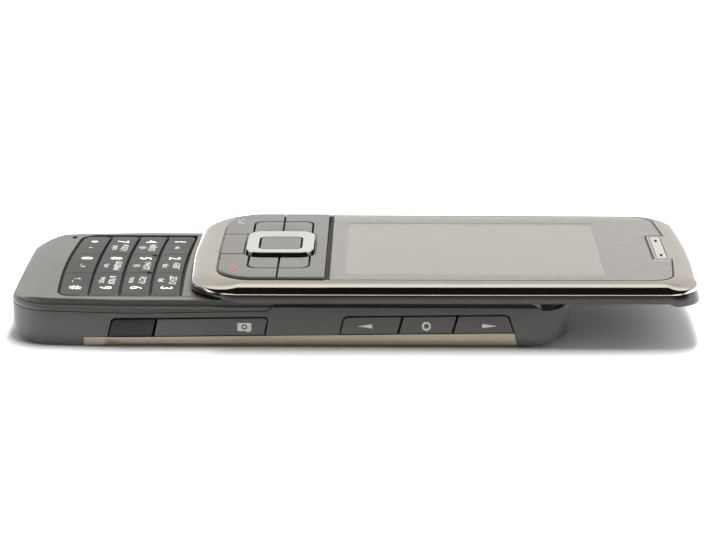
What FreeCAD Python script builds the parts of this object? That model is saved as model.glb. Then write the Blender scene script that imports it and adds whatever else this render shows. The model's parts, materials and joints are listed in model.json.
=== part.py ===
import FreeCAD, Part
import math
import os

# Slider phone, in millimetres, with the slide open.
# +X is the right-hand side (the side keys), +Y points to the earpiece end, +Z out of the screen.
# The origin is the middle of the flat back face of the lower half.

os.makedirs("parts", exist_ok=True)
V = FreeCAD.Vector

# ---- driving dimensions -------------------------------------------------------------------
CHIN_Y = -54.75           # chin end of the lower half
END_Y = 54.2              # its other end
HALF_WIDTH = 24.65        # lower half
TRAVEL = 25.5             # how far the upper half slides
WALL = 1.2                # housing side walls
SEAM_GAP = 0.15           # visible gap between neighbouring casings
KEY_GAP = 0.12            # running gap around a key
SIDE_GAP = 0.14           # the side keys stand this far in from their outlines
UPPER_GAP = 0.36          # gap between two keys of the upper half

PLATEAU_Z = 9.55          # top of the lower half, on its middle line
TOP_BEND = 1370           # radius of the top across the phone
SHOULDER_HALF = 24.0      # edge where the top turns down to a steep wall
SHOULDER_STEPS = ((-0.04, -1), (-0.04, 8.3), (0, 9.2), (0.06, 9.34), (0.3, 9.46), (0.8, 9.62))
BEAD_STEPS = ((0, -1), (0, 7.75), (0.12, 8.03), (0.4, 8.15))   # rolled edge under that wall
PLATE_HALF = 23.4         # plate under the upper half
SHOULDER_END_Y = -3.1
FLOOR_Z = 6.0             # deck between the battery side and the keypad side

STRIP_START_Y = -40.0     # metal battery cover, as it shows on the sides
STRIP_END_Y = 43.6
STRIP_RISE = 0.0139       # its upper edge climbs towards the earpiece end
STRIP_START_Z = 1.89
COVER_WALL = 0.5
COVER_GAP = 0.1

KEYPAD_HALF = 21.4        # numeric keypad
KEYPAD_GAP = 0.55         # groove around it
SLIT_HALF = 20.2          # the gaps between the rows end here, short of the keypad's edge
SLIT_END_GAP = 0.1        # what is left of them beyond
KEYPAD_TOP_Z = 9.7
KEYPAD_BOTTOM_Z = 8.65
KEY_PILLOW = 16           # radius of each row of keys along the phone
KEY_BEND = 700            # and across it
ROW_PITCH = 5.95
ROW_GAP = 0.62
COLUMN_GAP = 0.12
COLUMN_HALF = 6.7
KEYPAD_START_Y = -45.35
ROW_BOW = 0.0014          # rows curve towards the chin in the middle, y = bow * x^2
KEY_TRAVEL = 0.3

BOARD_Z = 6.2             # main board
BOARD_THICK = 0.8
DOME_HEIGHT = 0.3
MAT_Z = 7.95              # silicone sheet under the number keys
MAT_THICK = 0.3

RAIL_START_Y = -16.5      # slide rails in the lower half
RAIL_END_Y = 43.5
RAIL_IN = 15.0
RAIL_OUT = 20.0
RAIL_BOTTOM_Z = 7.7
RAIL_TOP_Z = 9.5
RAIL_SHEET = 0.3
RAIL_LIP = 1.6
SHOE_Z = (8.3, 8.9)
STEM_HALF = 0.5
SLIDER_Z = (9.85, 10.25)
SLIDER_HALF = 18.2
SPRING_POST = (-9.0, 20.8)
SPRING_PIN = (-3.0, 33.5)     # on the slider plate, with the slide open
FLEX_X = (5.0, 13.0)
FLEX_START_Y = -8.0
SCREW_PLACES = ((-20.8, -37.6), (20.8, -37.6), (-12.0, 20.4), (12.0, 20.4))

SLIDE_HALF = 24.75        # upper half
SLIDE_START_Y = -20.4
SLIDE_END_Y = 79.8
SLIDE_UNDER_Z = 9.85
SLIDE_TAPER = 0.55        # its sides bow in by this much at the earpiece end
BOW_Y = 25.0              # middle of that bow
BOW_RADIUS = 4000
SLIDE_RIM_Z = 8.75        # lower edge of its sides
LIP_Z = 8.15              # lower face of the lip at its earpiece end
SPLIT_Z = 10.55           # chrome frame above, dark shell below
RIM_TOP_Z = 13.35
FRAME_STEPS = (0, 28, 52, 72, 90)     # degrees round the frame's curved edge

RIM_HALF = 24.05          # inner edge of the chrome frame
WINDOW_HALF = 23.75
WINDOW_TAPER = 0.4        # window and rim bow in less than the sides
WINDOW_START_Y = 7.35
WINDOW_THICK = 0.8
FIELD_START_Y = -14.5     # key field of the upper half
FIELD_END_Y = 6.75
FIELD_HALF = 23.45
FIELD_BEVEL = 0.4         # width of the sloping edge around the keys
FIELD_BEVEL_Z = 13.07
KEY_TOP_STEPS = ((0, 13.45), (0.1, 13.68), (0.32, 13.8))     # rounded edge of the upper keys
CAP_BOTTOM_Z = 12.5
RING_Y = -2.7
RING_HALF = (7.7, 6.75)
RING_HOLE = (4.8, 4.35)
RING_TOP_Z = 14.42
RING_HOLE_Z = 14.12       # its top slopes down to the hole
SELECT_TOP_Z = 14.02
BLOCK_X = 17.05           # outer edge of the four shortcut keys
BLOCK_Y = (-8.6, 3.4)
CENTRE_HALF = 7.2         # half width of the clear key
SPLIT_Y = -2.6            # line between the upper and lower keys
UI_BOARD_Z = 10.6

# ---- drawing helpers ----------------------------------------------------------------------


def rounded_wire(corners, place):
    """Closed wire of straight runs and tangent arcs through (u, v, radius) corners."""
    starts = []
    ends = []
    middles = []
    count = len(corners)
    for i in range(count):
        u, v, radius = corners[i]
        here = V(u, v, 0)
        before = V(corners[i - 1][0], corners[i - 1][1], 0)
        after = V(corners[(i + 1) % count][0], corners[(i + 1) % count][1], 0)
        to_before = (before - here).normalize()
        to_after = (after - here).normalize()
        half = to_before.getAngle(to_after) / 2
        if radius <= 0 or half > math.pi / 2 - 1e-4:
            starts.append(here)
            ends.append(here)
            middles.append(None)
            continue
        reach = radius / math.tan(half)
        centre_way = (to_before + to_after).normalize()
        starts.append(here + to_before * reach)
        ends.append(here + to_after * reach)
        middles.append(here + centre_way * (radius / math.sin(half) - radius))
    edges = []
    for i in range(count):
        if middles[i] is not None:
            points = [place(p.x, p.y) for p in (starts[i], middles[i], ends[i])]
            edges.append(Part.Arc(*points).toShape())
        following = starts[(i + 1) % count]
        if (following - ends[i]).Length > 1e-6:
            line = Part.LineSegment(place(ends[i].x, ends[i].y), place(following.x, following.y))
            edges.append(line.toShape())
    return Part.Wire(edges)


def prism_z(corners, low, high):
    """Outline in plan, drawn as (x, y, radius), raised from low to high."""
    wire = rounded_wire(corners, lambda u, v: V(u, v, low))
    return Part.Face(wire).extrude(V(0, 0, high - low))


def prism_x(corners, low, high):
    """Outline seen from the side, drawn as (y, z, radius), drawn out from x = low to high."""
    wire = rounded_wire(corners, lambda u, v: V(low, u, v))
    return Part.Face(wire).extrude(V(high - low, 0, 0))


def prism_y(corners, low, high):
    """Outline seen along the phone, drawn as (x, z, radius), drawn out from y = low to high."""
    wire = rounded_wire(corners, lambda u, v: V(u, low, v))
    return Part.Face(wire).extrude(V(0, high - low, 0))


def loft_z(levels):
    """Solid through outlines of equal corner count, given as (corners, z)."""
    wires = []
    for corners, z in levels:
        wires.append(rounded_wire(corners, lambda u, v, z=z: V(u, v, z)))
    return Part.makeLoft(wires, True, True)


def mirrored(start, right, end):
    """Full outline from its right-hand corners, between one corner on the axis at each end."""
    left = [(-u, v, r) for u, v, r in reversed(right)]
    return [start] + right + [end] + left


def blend(first, second, share):
    """Outline part of the way from one outline to another with the same corners."""
    mixed = []
    for a, b in zip(first, second):
        mixed.append(tuple(p + (q - p) * share for p, q in zip(a, b)))
    return mixed


def block(x0, x1, y0, y1, z0, z1):
    return Part.makeBox(x1 - x0, y1 - y0, z1 - z0, V(x0, y0, z0))


def wide(half, y0, y1, z0, z1):
    """Box centred on the phone's middle plane."""
    return block(-half, half, y0, y1, z0, z1)


def rounded_box(x0, x1, y0, y1, z0, z1, radius):
    corners = [(x0, y0, radius), (x1, y0, radius), (x1, y1, radius), (x0, y1, radius)]
    return prism_z(corners, z0, z1)


def post(x, y, z0, z1, radius):
    return Part.makeCylinder(radius, z1 - z0, V(x, y, z0))


def join(shapes):
    return shapes[0].multiFuse(shapes[1:]).removeSplitter()


def save(name, *shapes):
    """Write one node; several loose pieces of one kind go in together."""
    solids = []
    for shape in shapes:
        solids.extend(shape.Solids)
    whole = solids[0] if len(solids) == 1 else Part.makeCompound(solids)
    if not whole.isValid():
        raise ValueError(name + " is not a valid solid")
    whole.exportStep("parts/" + name + ".step")
    box = whole.BoundBox
    print("%-24s %3d solids %9.2f mm3  x %.2f..%.2f  y %.2f..%.2f  z %.2f..%.2f" % (
        name, len(solids), whole.Volume, box.XMin, box.XMax, box.YMin, box.YMax, box.ZMin, box.ZMax))


# ---- outer form of the lower half ---------------------------------------------------------


def base_plan(inset):
    """Plan outline of the lower half, drawn in by a wall's thickness for its inside."""
    return mirrored(
        (0, CHIN_Y + inset, 400),
        [(22.7 - inset, CHIN_Y + 0.25 + inset, 8 - inset), (HALF_WIDTH - inset, -33, 70),
         (HALF_WIDTH - inset, END_Y - 0.3 - inset, 5.6 - inset)],
        (0, END_Y - inset, 600))


SCOOP_Z = 7.6             # dip that takes the lip of the upper half when it is closed
EAR_Z = 7.98
BASE_SIDE = [
    (CHIN_Y - 0.15, 7.9, 0), (CHIN_Y - 0.05, 5.4, 8), (CHIN_Y + 0.85, 1.2, 1.6), (-46.5, 0, 14),
    (45.0, 0, 12), (49.5, 0.85, 8), (END_Y - 0.2, 2.45, 0.8), (END_Y + 0.05, EAR_Z, 0.5),
    (52.7, EAR_Z, 1.0), (51.4, SCOOP_Z, 2.0), (48.3, SCOOP_Z, 2.0), (44.5, PLATEAU_Z, 2.0),
    (-49.9, PLATEAU_Z, 25)]

BASE_SECTION = [
    (HALF_WIDTH - 0.15, 0, 1.1), (HALF_WIDTH, 1.6, 3), (HALF_WIDTH, 12, 0),
    (-HALF_WIDTH, 12, 0), (-HALF_WIDTH, 1.6, 3), (-HALF_WIDTH + 0.15, 0, 1.1)]


def shoulder_plan(inset):
    """Edge of the top surface round the chin and along the keypad."""
    half = SHOULDER_HALF - inset
    return mirrored(
        (0, CHIN_Y + 0.45 + inset, 400),
        [(half - 1.6, CHIN_Y + 0.7 + inset, 8.4 - inset), (half, -33, 70), (half, 0, 0)],
        (0, 0, 0))


def crown():
    """Rolled edge all round, the keypad surround with its steep shoulder, and the rear plate."""
    bead = loft_z([(base_plan(inset), z) for inset, z in BEAD_STEPS])
    surround = loft_z([(shoulder_plan(inset), z) for inset, z in SHOULDER_STEPS])
    surround = surround.common(block(-30, 30, -60, SHOULDER_END_Y, -2, 12))
    plate = rounded_box(-PLATE_HALF, PLATE_HALF, -8, 52.2, 5, 12, 4)
    return join([bead, surround, plate])


def base_envelope():
    side = prism_x(BASE_SIDE, -30, 30)
    section = prism_y(BASE_SECTION, -60, 60)
    top = Part.makeCylinder(TOP_BEND, 130, V(0, -65, PLATEAU_Z - TOP_BEND), V(0, 1, 0))
    return crown().common(side).common(section).common(top)


def cover_zone(gap):
    """Space of the front cover: the rim above the seam, and the top plate under the slide."""
    rim = [(-60, 7.15 - gap, 0), (-45, 6.95 - gap, 20), (-27, 6.95 - gap, 40),
           (-4.3 + gap, 7.45 - gap, 0.5), (-3.3 + gap, 8.6, 0),
           (SHOULDER_END_Y + gap, 12, 0), (-60, 12, 0)]
    half = PLATE_HALF + gap
    plate = rounded_box(-half, half, -8, 52.2 + gap, 7.0 - gap, 12, 4)
    return join([prism_x(rim, -30, 30), plate])


def strip_top(y):
    return STRIP_START_Z + STRIP_RISE * (y - STRIP_START_Y)


def strip_zone(gap):
    """Space of the metal battery cover: back face and lower sides between its two ends."""
    start = STRIP_START_Y - gap
    end = STRIP_END_Y + gap
    outline = [(start, -1, 0), (start, strip_top(start) + gap, 0.3),
               (end - 0.4, strip_top(end) + gap, 0.4), (end + 0.4, -1, 0)]
    return prism_x(outline, -30, 30)


def band_top(y):
    """Upper edge of the side keys."""
    return 6.13 + 0.0128 * y


def side_zone(shape, gap):
    """Side-key outline in (y, z).

    Its upper edge runs from y_low to y_high, its ends lean and its upper corners are rounded.
    """
    y_low, y_high, lean_low, lean_high, round_low, round_high = shape
    corners = [
        (y_low - lean_low + gap, strip_top(y_low) + gap, 0),
        (y_high - lean_high - gap, strip_top(y_high) + gap, 0),
        (y_high - gap, band_top(y_high) - gap, round_high - gap),
        (y_low + gap, band_top(y_low) - gap, round_low - gap)]
    return corners


SIDE_PIECES = {
    "infrared_window": (-34.3, -25.75, 0.9, 0.75, 0.99, 0.3),
    "camera_key": (-25.6, -4.2, 0.75, 0.7, 0.3, 0.64),
    "volume_down_key": (10.35, 21.6, 0.9, 0.9, 1.09, 0.3),
    "voice_key": (21.7, 32.1, 0.9, 0.9, 0.3, 0.3),
    "volume_up_key": (32.2, 41.9, 0.9, -1.2, 0.3, 1.09)}
SIDE_RUNS = ((-34.3, -4.2, 0.9, 0.7, 0.99, 0.64), (10.35, 41.9, 0.9, -1.2, 1.09, 1.09))
POWER_HALF = 5.5
POWER_Z = (3.6, 6.2)
REAR_CAMERA_Y = 35.5


# ---- lower half: casings ------------------------------------------------------------------


def lower_housing(envelope):
    body = envelope.cut(cover_zone(SEAM_GAP)).cut(strip_zone(COVER_GAP))
    # wall behind the battery cover's edge, between the cover's two ends
    skirt = prism_z(base_plan(COVER_WALL + COVER_GAP + 0.05), COVER_WALL + COVER_GAP, 4.0)
    skirt = skirt.common(block(-30, 30, STRIP_START_Y - COVER_GAP, STRIP_END_Y + 0.6, 0, 5))
    body = body.fuse(skirt.common(envelope)).removeSplitter()
    tools = [
        # keypad side: one open tray above the deck
        prism_z(base_plan(WALL), FLOOR_Z, 12),
        # chin end below the deck: loudspeaker and charging socket
        rounded_box(-17.2, 17.2, -51.6, -38.8, 1.3, FLOOR_Z + 1, 2.5),
        # battery well, open to the back
        rounded_box(-18.2, 18.2, -37.4, 18.4, -1, FLOOR_Z - 0.4, 1.2),
        # side pockets for the key switches
        rounded_box(18.9, 23.4, -35.2, 43.2, 2.6, FLOOR_Z + 1, 0.6),
        rounded_box(-23.4, -18.9, -35.2, 43.2, 2.6, FLOOR_Z + 1, 0.6),
        # earpiece end below the deck: camera, motor, sockets
        rounded_box(-18.3, 18.3, 22.4, 50.2, 1.5, FLOOR_Z + 1, 1.5),
        rounded_box(-18.3, 18.3, 46.0, 51.9, 2.6, FLOOR_Z + 1, 1.5),
        # slot for the battery contacts
        wide(4.1, 17.7, 18.4, 5.0, 7.0)]
    for run in SIDE_RUNS:
        low_left, low_right, high_right, high_left = side_zone(run, -SIDE_GAP)
        sill = [(u, v - 0.6, 0) for u, v, r in (low_left, low_right)]
        tools.append(prism_x(sill + [low_right, high_right, high_left, low_left], 22.4, 30))
    hole_half = POWER_HALF + KEY_GAP
    hole_low = POWER_Z[0] - KEY_GAP
    hole_high = POWER_Z[1] + KEY_GAP
    power_hole = [(-hole_half, hole_low, 1.2), (hole_half, hole_low, 1.2),
                  (hole_half, hole_high, 1.2), (-hole_half, hole_high, 1.2)]
    tools.append(prism_y(power_hole, 51.5, 60))
    tools.append(rounded_box(-3.8, 3.8, REAR_CAMERA_Y - 3.8, REAR_CAMERA_Y + 3.8, -1, 3, 0.8))
    for x, y in SCREW_PLACES:
        tools.append(post(x, y, -1, 1.95, 1.4))
        tools.append(post(x, y, 1.9, 5.85, 0.75))
    # sockets through the end walls
    tools.append(Part.makeCylinder(1.15, 6, V(0, -56, 3.6), V(0, 1, 0)))
    tools.append(Part.makeCylinder(1.45, 6, V(12.5, 50.5, 4.4), V(0, 1, 0)))
    # opening for the cover release button
    tools.append(rounded_box(-4.12, 4.12, 46.88, 50.12, -1, 3, 1.0))
    # loudspeaker slots in the back of the chin
    for row in range(3):
        slot_y = -49.2 + 1.6 * row
        tools.append(rounded_box(6.5, 14.4, slot_y - 0.35, slot_y + 0.35, -1, 1.4, 0.34))
    return body.cut(Part.makeCompound(tools))


def front_cover(envelope):
    body = envelope.common(cover_zone(0))
    hollow = [(-22.0, -48.6, 5), (22.0, -48.6, 5), (22.4, 43.8, 1), (-22.4, 43.8, 1)]
    tools = [
        prism_z(hollow, 5, 8.35),
        keypad_outline(-KEYPAD_GAP, 5, 12),
        wide(RAIL_OUT + 0.15, RAIL_START_Y - 0.1, RAIL_END_Y + 0.1, 5, 12),
        # microphone slot beside the keypad
        prism_z([(-20.9, -47.3, 0.45), (-19.1, -47.3, 0.45), (-19.1, -46.3, 0.45), (-20.9, -46.3, 0.45)],
                5, 12)]
    # the groove at the keypad's sides runs on for a little
    tools += [block(side - 0.15, side + 0.15, -22.0, -16.0, 9.08, 12) for side in (-21.65, 21.65)]
    body = body.cut(Part.makeCompound(tools))
    # two bars across the opening carry the slide rails
    bars = [wide(23.0, y, y + 3.0, 7.15, RAIL_BOTTOM_Z) for y in (-15.5, 39.5)]
    return join([body] + bars)


def battery_cover(envelope):
    shell = envelope.common(strip_zone(0))
    hollow = prism_z(base_plan(COVER_WALL), COVER_WALL, 12)
    window = rounded_box(-5.2, 5.2, REAR_CAMERA_Y - 5.2, REAR_CAMERA_Y + 5.2, -1, 3, 0.8)
    return shell.cut(Part.makeCompound([hollow, window]))


# ---- lower half: numeric keypad -----------------------------------------------------------


def row_line(index):
    """Centre-line y of the gap below row `index`, counted from the chin."""
    return KEYPAD_START_Y + ROW_PITCH * index


def bowed_band(y_low, y_high, x_low, x_high, z0, z1):
    """Area between two gently bowed lines, from x_low to x_high."""
    def arc(y, xs, backwards):
        points = [V(x, y + ROW_BOW * x * x, z0) for x in xs]
        if backwards:
            points.reverse()
        return Part.Arc(*points).toShape()

    xs = (x_low, (x_low + x_high) / 2, x_high)
    low = arc(y_low, xs, False)
    high = arc(y_high, xs, True)
    corner = [V(x_high, y_low + ROW_BOW * x_high ** 2, z0), V(x_high, y_high + ROW_BOW * x_high ** 2, z0),
              V(x_low, y_high + ROW_BOW * x_low ** 2, z0), V(x_low, y_low + ROW_BOW * x_low ** 2, z0)]
    right = Part.LineSegment(corner[0], corner[1]).toShape()
    left = Part.LineSegment(corner[2], corner[3]).toShape()
    return Part.Face(Part.Wire([low, right, high, left])).extrude(V(0, 0, z1 - z0))


def keypad_outline(inset, z0, z1):
    """Whole keypad with its rounded corners; a negative inset makes the opening for it."""
    low = row_line(0) + inset
    high = row_line(4) - ROW_GAP - inset
    half = KEYPAD_HALF - inset
    corners = mirrored(
        (0, low - 0.7, 200), [(half, low + 0.65, 3.0 - inset), (half, high + ROW_BOW * half ** 2, 0.9)],
        (0, high, 400))
    return prism_z(corners, z0, z1)


KEY_NAMES = (("key_star", "key_0", "key_hash"), ("key_7", "key_8", "key_9"),
             ("key_4", "key_5", "key_6"), ("key_1", "key_2", "key_3"))


def key_end(row, x_low, x_high):
    """End of an outer key beyond the row gaps, where it all but meets the next one."""
    reach = (ROW_GAP - SLIT_END_GAP) / 2
    y_low = row_line(row) - reach if row else row_line(0) - 1.5
    y_high = row_line(row + 1) - ROW_GAP + reach
    band = bowed_band(y_low, y_high, x_low, x_high, KEYPAD_BOTTOM_Z, 11)
    return band.cut(wide(SLIT_HALF, -60, 0, 5, 12))


def number_key(row, column):
    edges = (-KEYPAD_HALF - 1, -COLUMN_HALF, COLUMN_HALF, KEYPAD_HALF + 1)
    x_low = edges[column] + COLUMN_GAP / 2
    x_high = edges[column + 1] - COLUMN_GAP / 2
    y_low = row_line(row) if row else row_line(0) - 1.5
    y_high = row_line(row + 1) - ROW_GAP
    cell = bowed_band(y_low, y_high, x_low, x_high, KEYPAD_BOTTOM_Z, 11)
    if column != 1:
        cell = join([cell.common(wide(SLIT_HALF, -60, 0, 5, 12)), key_end(row, x_low, x_high)])
    cap = cell.common(keypad_outline(0, KEYPAD_BOTTOM_Z, 11))
    middle = (row_line(row) + row_line(row + 1) - ROW_GAP) / 2
    bend = V(0, middle + 0.1, KEYPAD_TOP_Z - KEY_BEND)
    cap = cap.common(Part.makeTorus(KEY_BEND - KEY_PILLOW, KEY_PILLOW, bend, V(0, 1, 0)))
    edge = KEYPAD_HALF + 0.3
    cap = cap.common(prism_y([(edge, 8, 0), (edge, 9.1, 0), (20.2, 9.44, 4), (15, 12, 0),
                              (-15, 12, 0), (-20.2, 9.44, 4), (-edge, 9.1, 0), (-edge, 8, 0)], -60, 0))
    stem_x = (-13.5, 0, 13.5)[column]
    stem_low = BOARD_Z + BOARD_THICK + DOME_HEIGHT + KEY_TRAVEL + 0.02
    stem = post(stem_x, middle, stem_low, KEYPAD_BOTTOM_Z + 0.2, 1.2)
    return join([cap, stem])


def key_places():
    places = []
    for row in range(4):
        for column in range(3):
            middle = (row_line(row) + row_line(row + 1) - ROW_GAP) / 2
            places.append(((-13.5, 0, 13.5)[column], middle))
    return places


# ---- lower half: side keys ----------------------------------------------------------------


def side_piece(name, proud):
    shape = SIDE_PIECES[name]
    outline = side_zone(shape, SIDE_GAP)
    face_x = HALF_WIDTH + proud
    cap = prism_x(outline, 22.95, face_x)
    outer = [e for e in cap.Edges if e.BoundBox.XMin > face_x - 0.01]
    cap = cap.makeFillet(0.14, outer)
    low = shape[0] + 1.0
    high = shape[1] - 1.0
    flange = block(22.8, 23.2, low, high, strip_top(high) + 0.5, band_top(low) - 0.35)
    return join([cap, flange])


def power_key():
    outline = [(-POWER_HALF, POWER_Z[0], 1.1), (POWER_HALF, POWER_Z[0], 1.1),
               (POWER_HALF, POWER_Z[1], 1.1), (-POWER_HALF, POWER_Z[1], 1.1)]
    cap = prism_y(outline, 51.6, END_Y - 0.02)
    flange = block(-POWER_HALF - 0.6, POWER_HALF + 0.6, 51.3, 51.75, POWER_Z[0] + 0.2, POWER_Z[1] - 0.3)
    return join([cap, flange])


def edge_switches():
    """Small switches behind the side keys and the power key."""
    pieces = []
    for name in ("camera_key", "volume_down_key", "voice_key", "volume_up_key"):
        y_low, y_high = SIDE_PIECES[name][:2]
        middle = (y_low + y_high) / 2
        pieces.append(block(18.95, 22.1, middle - 2, middle + 2, 2.65, 5.7))
        pieces.append(Part.makeCylinder(0.6, 0.35, V(22.1, middle, 4.4), V(1, 0, 0)))
    pieces.append(block(-2, 2, 49.0, 50.5, 3.4, 6.19))
    pieces.append(Part.makeCylinder(0.6, 0.4, V(0, 50.5, 4.9), V(0, 1, 0)))
    grouped = []
    for i in range(0, len(pieces), 2):
        grouped.append(join([pieces[i], pieces[i + 1]]))
    return grouped


# ---- lower half: slide rails and what is inside -------------------------------------------


def slide_rails():
    """Steel sheet with a C-shaped channel folded along each side, and the spring's post."""
    sheet = RAIL_SHEET
    web = wide(RAIL_IN + sheet, RAIL_START_Y, RAIL_END_Y, 8.4, 8.4 + sheet)
    web = web.cut(rounded_box(FLEX_X[0] - 0.5, FLEX_X[1] + 0.5, FLEX_START_Y - 1, FLEX_START_Y + 2,
                              8, 9, 0.5))
    x, y = SPRING_POST
    pieces = [web, post(x, y, 8.4, 9.5, 0.8)]
    for side in (-1, 1):
        walls = [(RAIL_IN, RAIL_OUT, RAIL_BOTTOM_Z, RAIL_BOTTOM_Z + sheet),
                 (RAIL_IN, RAIL_IN + sheet, RAIL_BOTTOM_Z, RAIL_TOP_Z),
                 (RAIL_OUT - sheet, RAIL_OUT, RAIL_BOTTOM_Z, RAIL_TOP_Z),
                 (RAIL_IN, RAIL_IN + RAIL_LIP, RAIL_TOP_Z - sheet, RAIL_TOP_Z),
                 (RAIL_OUT - RAIL_LIP, RAIL_OUT, RAIL_TOP_Z - sheet, RAIL_TOP_Z)]
        for x0, x1, z0, z1 in walls:
            left, right = sorted((side * x0, side * x1))
            pieces.append(block(left, right, RAIL_START_Y, RAIL_END_Y, z0, z1))
    return join(pieces)


def slider_plate():
    """Steel plate under the upper half, with a T-shaped runner in each rail."""
    shoe_end = RAIL_END_Y - 0.4
    shoe_start = RAIL_START_Y + 0.4 + TRAVEL
    plate = rounded_box(-SLIDER_HALF, SLIDER_HALF, -13, 49, SLIDER_Z[0], SLIDER_Z[1], 2)
    plate = plate.cut(block(FLEX_X[0] - 0.3, FLEX_X[1] + 0.3, 5.5, 6.7, 9, 11))
    pieces = [plate, post(SPRING_PIN[0], SPRING_PIN[1], 8.9, SLIDER_Z[0] + 0.1, 0.5)]
    for side in (-1, 1):
        middle = side * (RAIL_IN + RAIL_OUT) / 2
        pieces.append(block(middle - STEM_HALF, middle + STEM_HALF, shoe_start, shoe_end,
                            SHOE_Z[0], SLIDER_Z[0] + 0.1))
        foot = (RAIL_OUT - RAIL_IN) / 2 - RAIL_SHEET - 0.35
        pieces.append(block(middle - foot, middle + foot, shoe_start, shoe_end, SHOE_Z[0], SHOE_Z[1]))
    return join(pieces)


def slide_spring():
    """Wire spring lying flat between the post on the rails and the pin of the plate above."""
    wire = 0.22
    z = 9.2
    coil = Part.makeTorus(1.15, wire, V(SPRING_POST[0], SPRING_POST[1], z))
    eye = Part.makeTorus(0.85, wire, V(SPRING_PIN[0], SPRING_PIN[1], z))
    way = V(SPRING_PIN[0] - SPRING_POST[0], SPRING_PIN[1] - SPRING_POST[1], 0).normalize()
    start = V(SPRING_POST[0], SPRING_POST[1], z) + way * 1.15
    end = V(SPRING_PIN[0], SPRING_PIN[1], z) - way * 0.85
    arm = Part.makeCylinder(wire, (end - start).Length, start, way)
    return join([coil, arm, eye])


def slide_flex():
    """Ribbon cable folded back on itself between the two halves."""
    x0, x1 = FLEX_X
    low_z = 8.74
    high_z = 9.62
    sheet = 0.12
    turn_y = 30
    middle = (low_z + high_z + sheet) / 2
    outer = middle - low_z
    low = block(x0, x1, FLEX_START_Y, turn_y, low_z, low_z + sheet)
    down = block(x0, x1, FLEX_START_Y, FLEX_START_Y + sheet, BOARD_Z + BOARD_THICK + 0.05, low_z + sheet)
    high = block(x0, x1, 6.0, turn_y, high_z, high_z + sheet)
    up = block(x0, x1, 6.0, 6.0 + sheet, high_z, UI_BOARD_Z - 0.05)
    turn = Part.makeCylinder(outer, x1 - x0, V(x0, turn_y, middle), V(1, 0, 0))
    turn = turn.cut(Part.makeCylinder(outer - sheet, x1 - x0, V(x0, turn_y, middle), V(1, 0, 0)))
    turn = turn.cut(block(x0, x1, turn_y - 5, turn_y, 8, 11))
    return join([low, down, high, up, turn])


def main_board():
    """Board with a metal dome under each number key and the battery's contact strip."""
    board = rounded_box(-21.0, 21.0, -47.6, 50.0, BOARD_Z, BOARD_Z + BOARD_THICK, 4)
    board = board.cut(wide(5.4, REAR_CAMERA_Y - 5.4, REAR_CAMERA_Y + 5.4, 5, 8))
    contacts = wide(3.9, 17.85, 18.3, 1.6, BOARD_Z + 0.1)
    domes = []
    for x, y in key_places():
        ball_radius = (2.2 ** 2 + DOME_HEIGHT ** 2) / (2 * DOME_HEIGHT)
        top = BOARD_Z + BOARD_THICK
        ball = Part.makeSphere(ball_radius, V(x, y, top + DOME_HEIGHT - ball_radius))
        domes.append(ball.common(block(x - 3, x + 3, y - 3, y + 3, top - 0.05, top + 1)))
    return join([board, contacts] + domes)


def keypad_mat():
    plan = [(-21.8, -47.6, 4.5), (21.8, -47.6, 4.5), (21.8, -18.5, 1), (-21.8, -18.5, 1)]
    sheet = prism_z(plan, MAT_Z, MAT_Z + MAT_THICK)
    holes = [post(x, y, 7, 9, 1.45) for x, y in key_places()]
    return sheet.cut(Part.makeCompound(holes))


def camera_module():
    body = wide(4.6, REAR_CAMERA_Y - 4.6, REAR_CAMERA_Y + 4.6, 2.2, 7.0)
    barrel = post(0, REAR_CAMERA_Y, 0.75, 2.4, 3.4)
    eye = post(0, REAR_CAMERA_Y, 0.5, 1.3, 1.5)
    return join([body, barrel]).cut(eye)


def camera_window():
    return rounded_box(-5.05, 5.05, REAR_CAMERA_Y - 5.05, REAR_CAMERA_Y + 5.05, 0.1, 0.58, 0.7)


def battery():
    return rounded_box(-17.6, 17.6, -36.8, 17.6, 0.7, 4.75, 1.0)


def board_shields():
    plan = ((-17.5, -6.5, 23.2, 34), (6.5, 17.5, 23.2, 34), (-17.5, -6.5, 36, 45))
    return [rounded_box(x0, x1, y0, y1, 4.4, BOARD_Z, 0.8) for x0, x1, y0, y1 in plan]


def loudspeaker():
    body = rounded_box(4.2, 16.7, -50.8, -44.8, 1.6, 4.4, 1.2)
    rim = rounded_box(5.2, 15.7, -50.0, -45.6, 1.32, 1.8, 1.0)
    return join([body, rim])


def vibration_motor():
    axis_z = 3.25
    body = Part.makeCylinder(1.9, 9, V(-16.5, -45.5, axis_z), V(1, 0, 0))
    weight = Part.makeCylinder(1.6, 2.8, V(-7.2, -45.5, axis_z), V(1, 0, 0))
    weight = weight.cut(block(-8, -4, -48, -43, axis_z + 0.1, 7))
    shaft = Part.makeCylinder(0.4, 3.5, V(-8, -45.5, axis_z), V(1, 0, 0))
    return join([body, weight, shaft])


def charger_jack():
    body = block(-2.9, 2.9, -51.5, -42.5, 1.35, 5.7)
    bore = Part.makeCylinder(1.0, 7.5, V(0, -52, 3.6), V(0, 1, 0))
    pin = Part.makeCylinder(0.3, 7, V(0, -50.4, 3.6), V(0, 1, 0))
    return join([body.cut(bore), pin])


def headset_jack():
    body = block(9.6, 15.4, 39.0, 51.8, 2.7, 6.1)
    return body.cut(Part.makeCylinder(1.28, 11.0, V(12.5, 41.0, 4.4), V(0, 1, 0)))


def sim_holder():
    """Sheet-metal holder for the card, above the battery."""
    frame = block(-14, 14, -31, -14, 4.95, 5.58)
    return frame.cut(block(-12.6, 12.6, -29.6, -10, 4.9, 5.38))


def antenna():
    plate = block(-15.5, -4.0, 46.6, 50.8, 4.4, BOARD_Z)
    return plate.cut(block(-14.5, -5.0, 47.6, 49.8, 4.0, 5.4))


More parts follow.
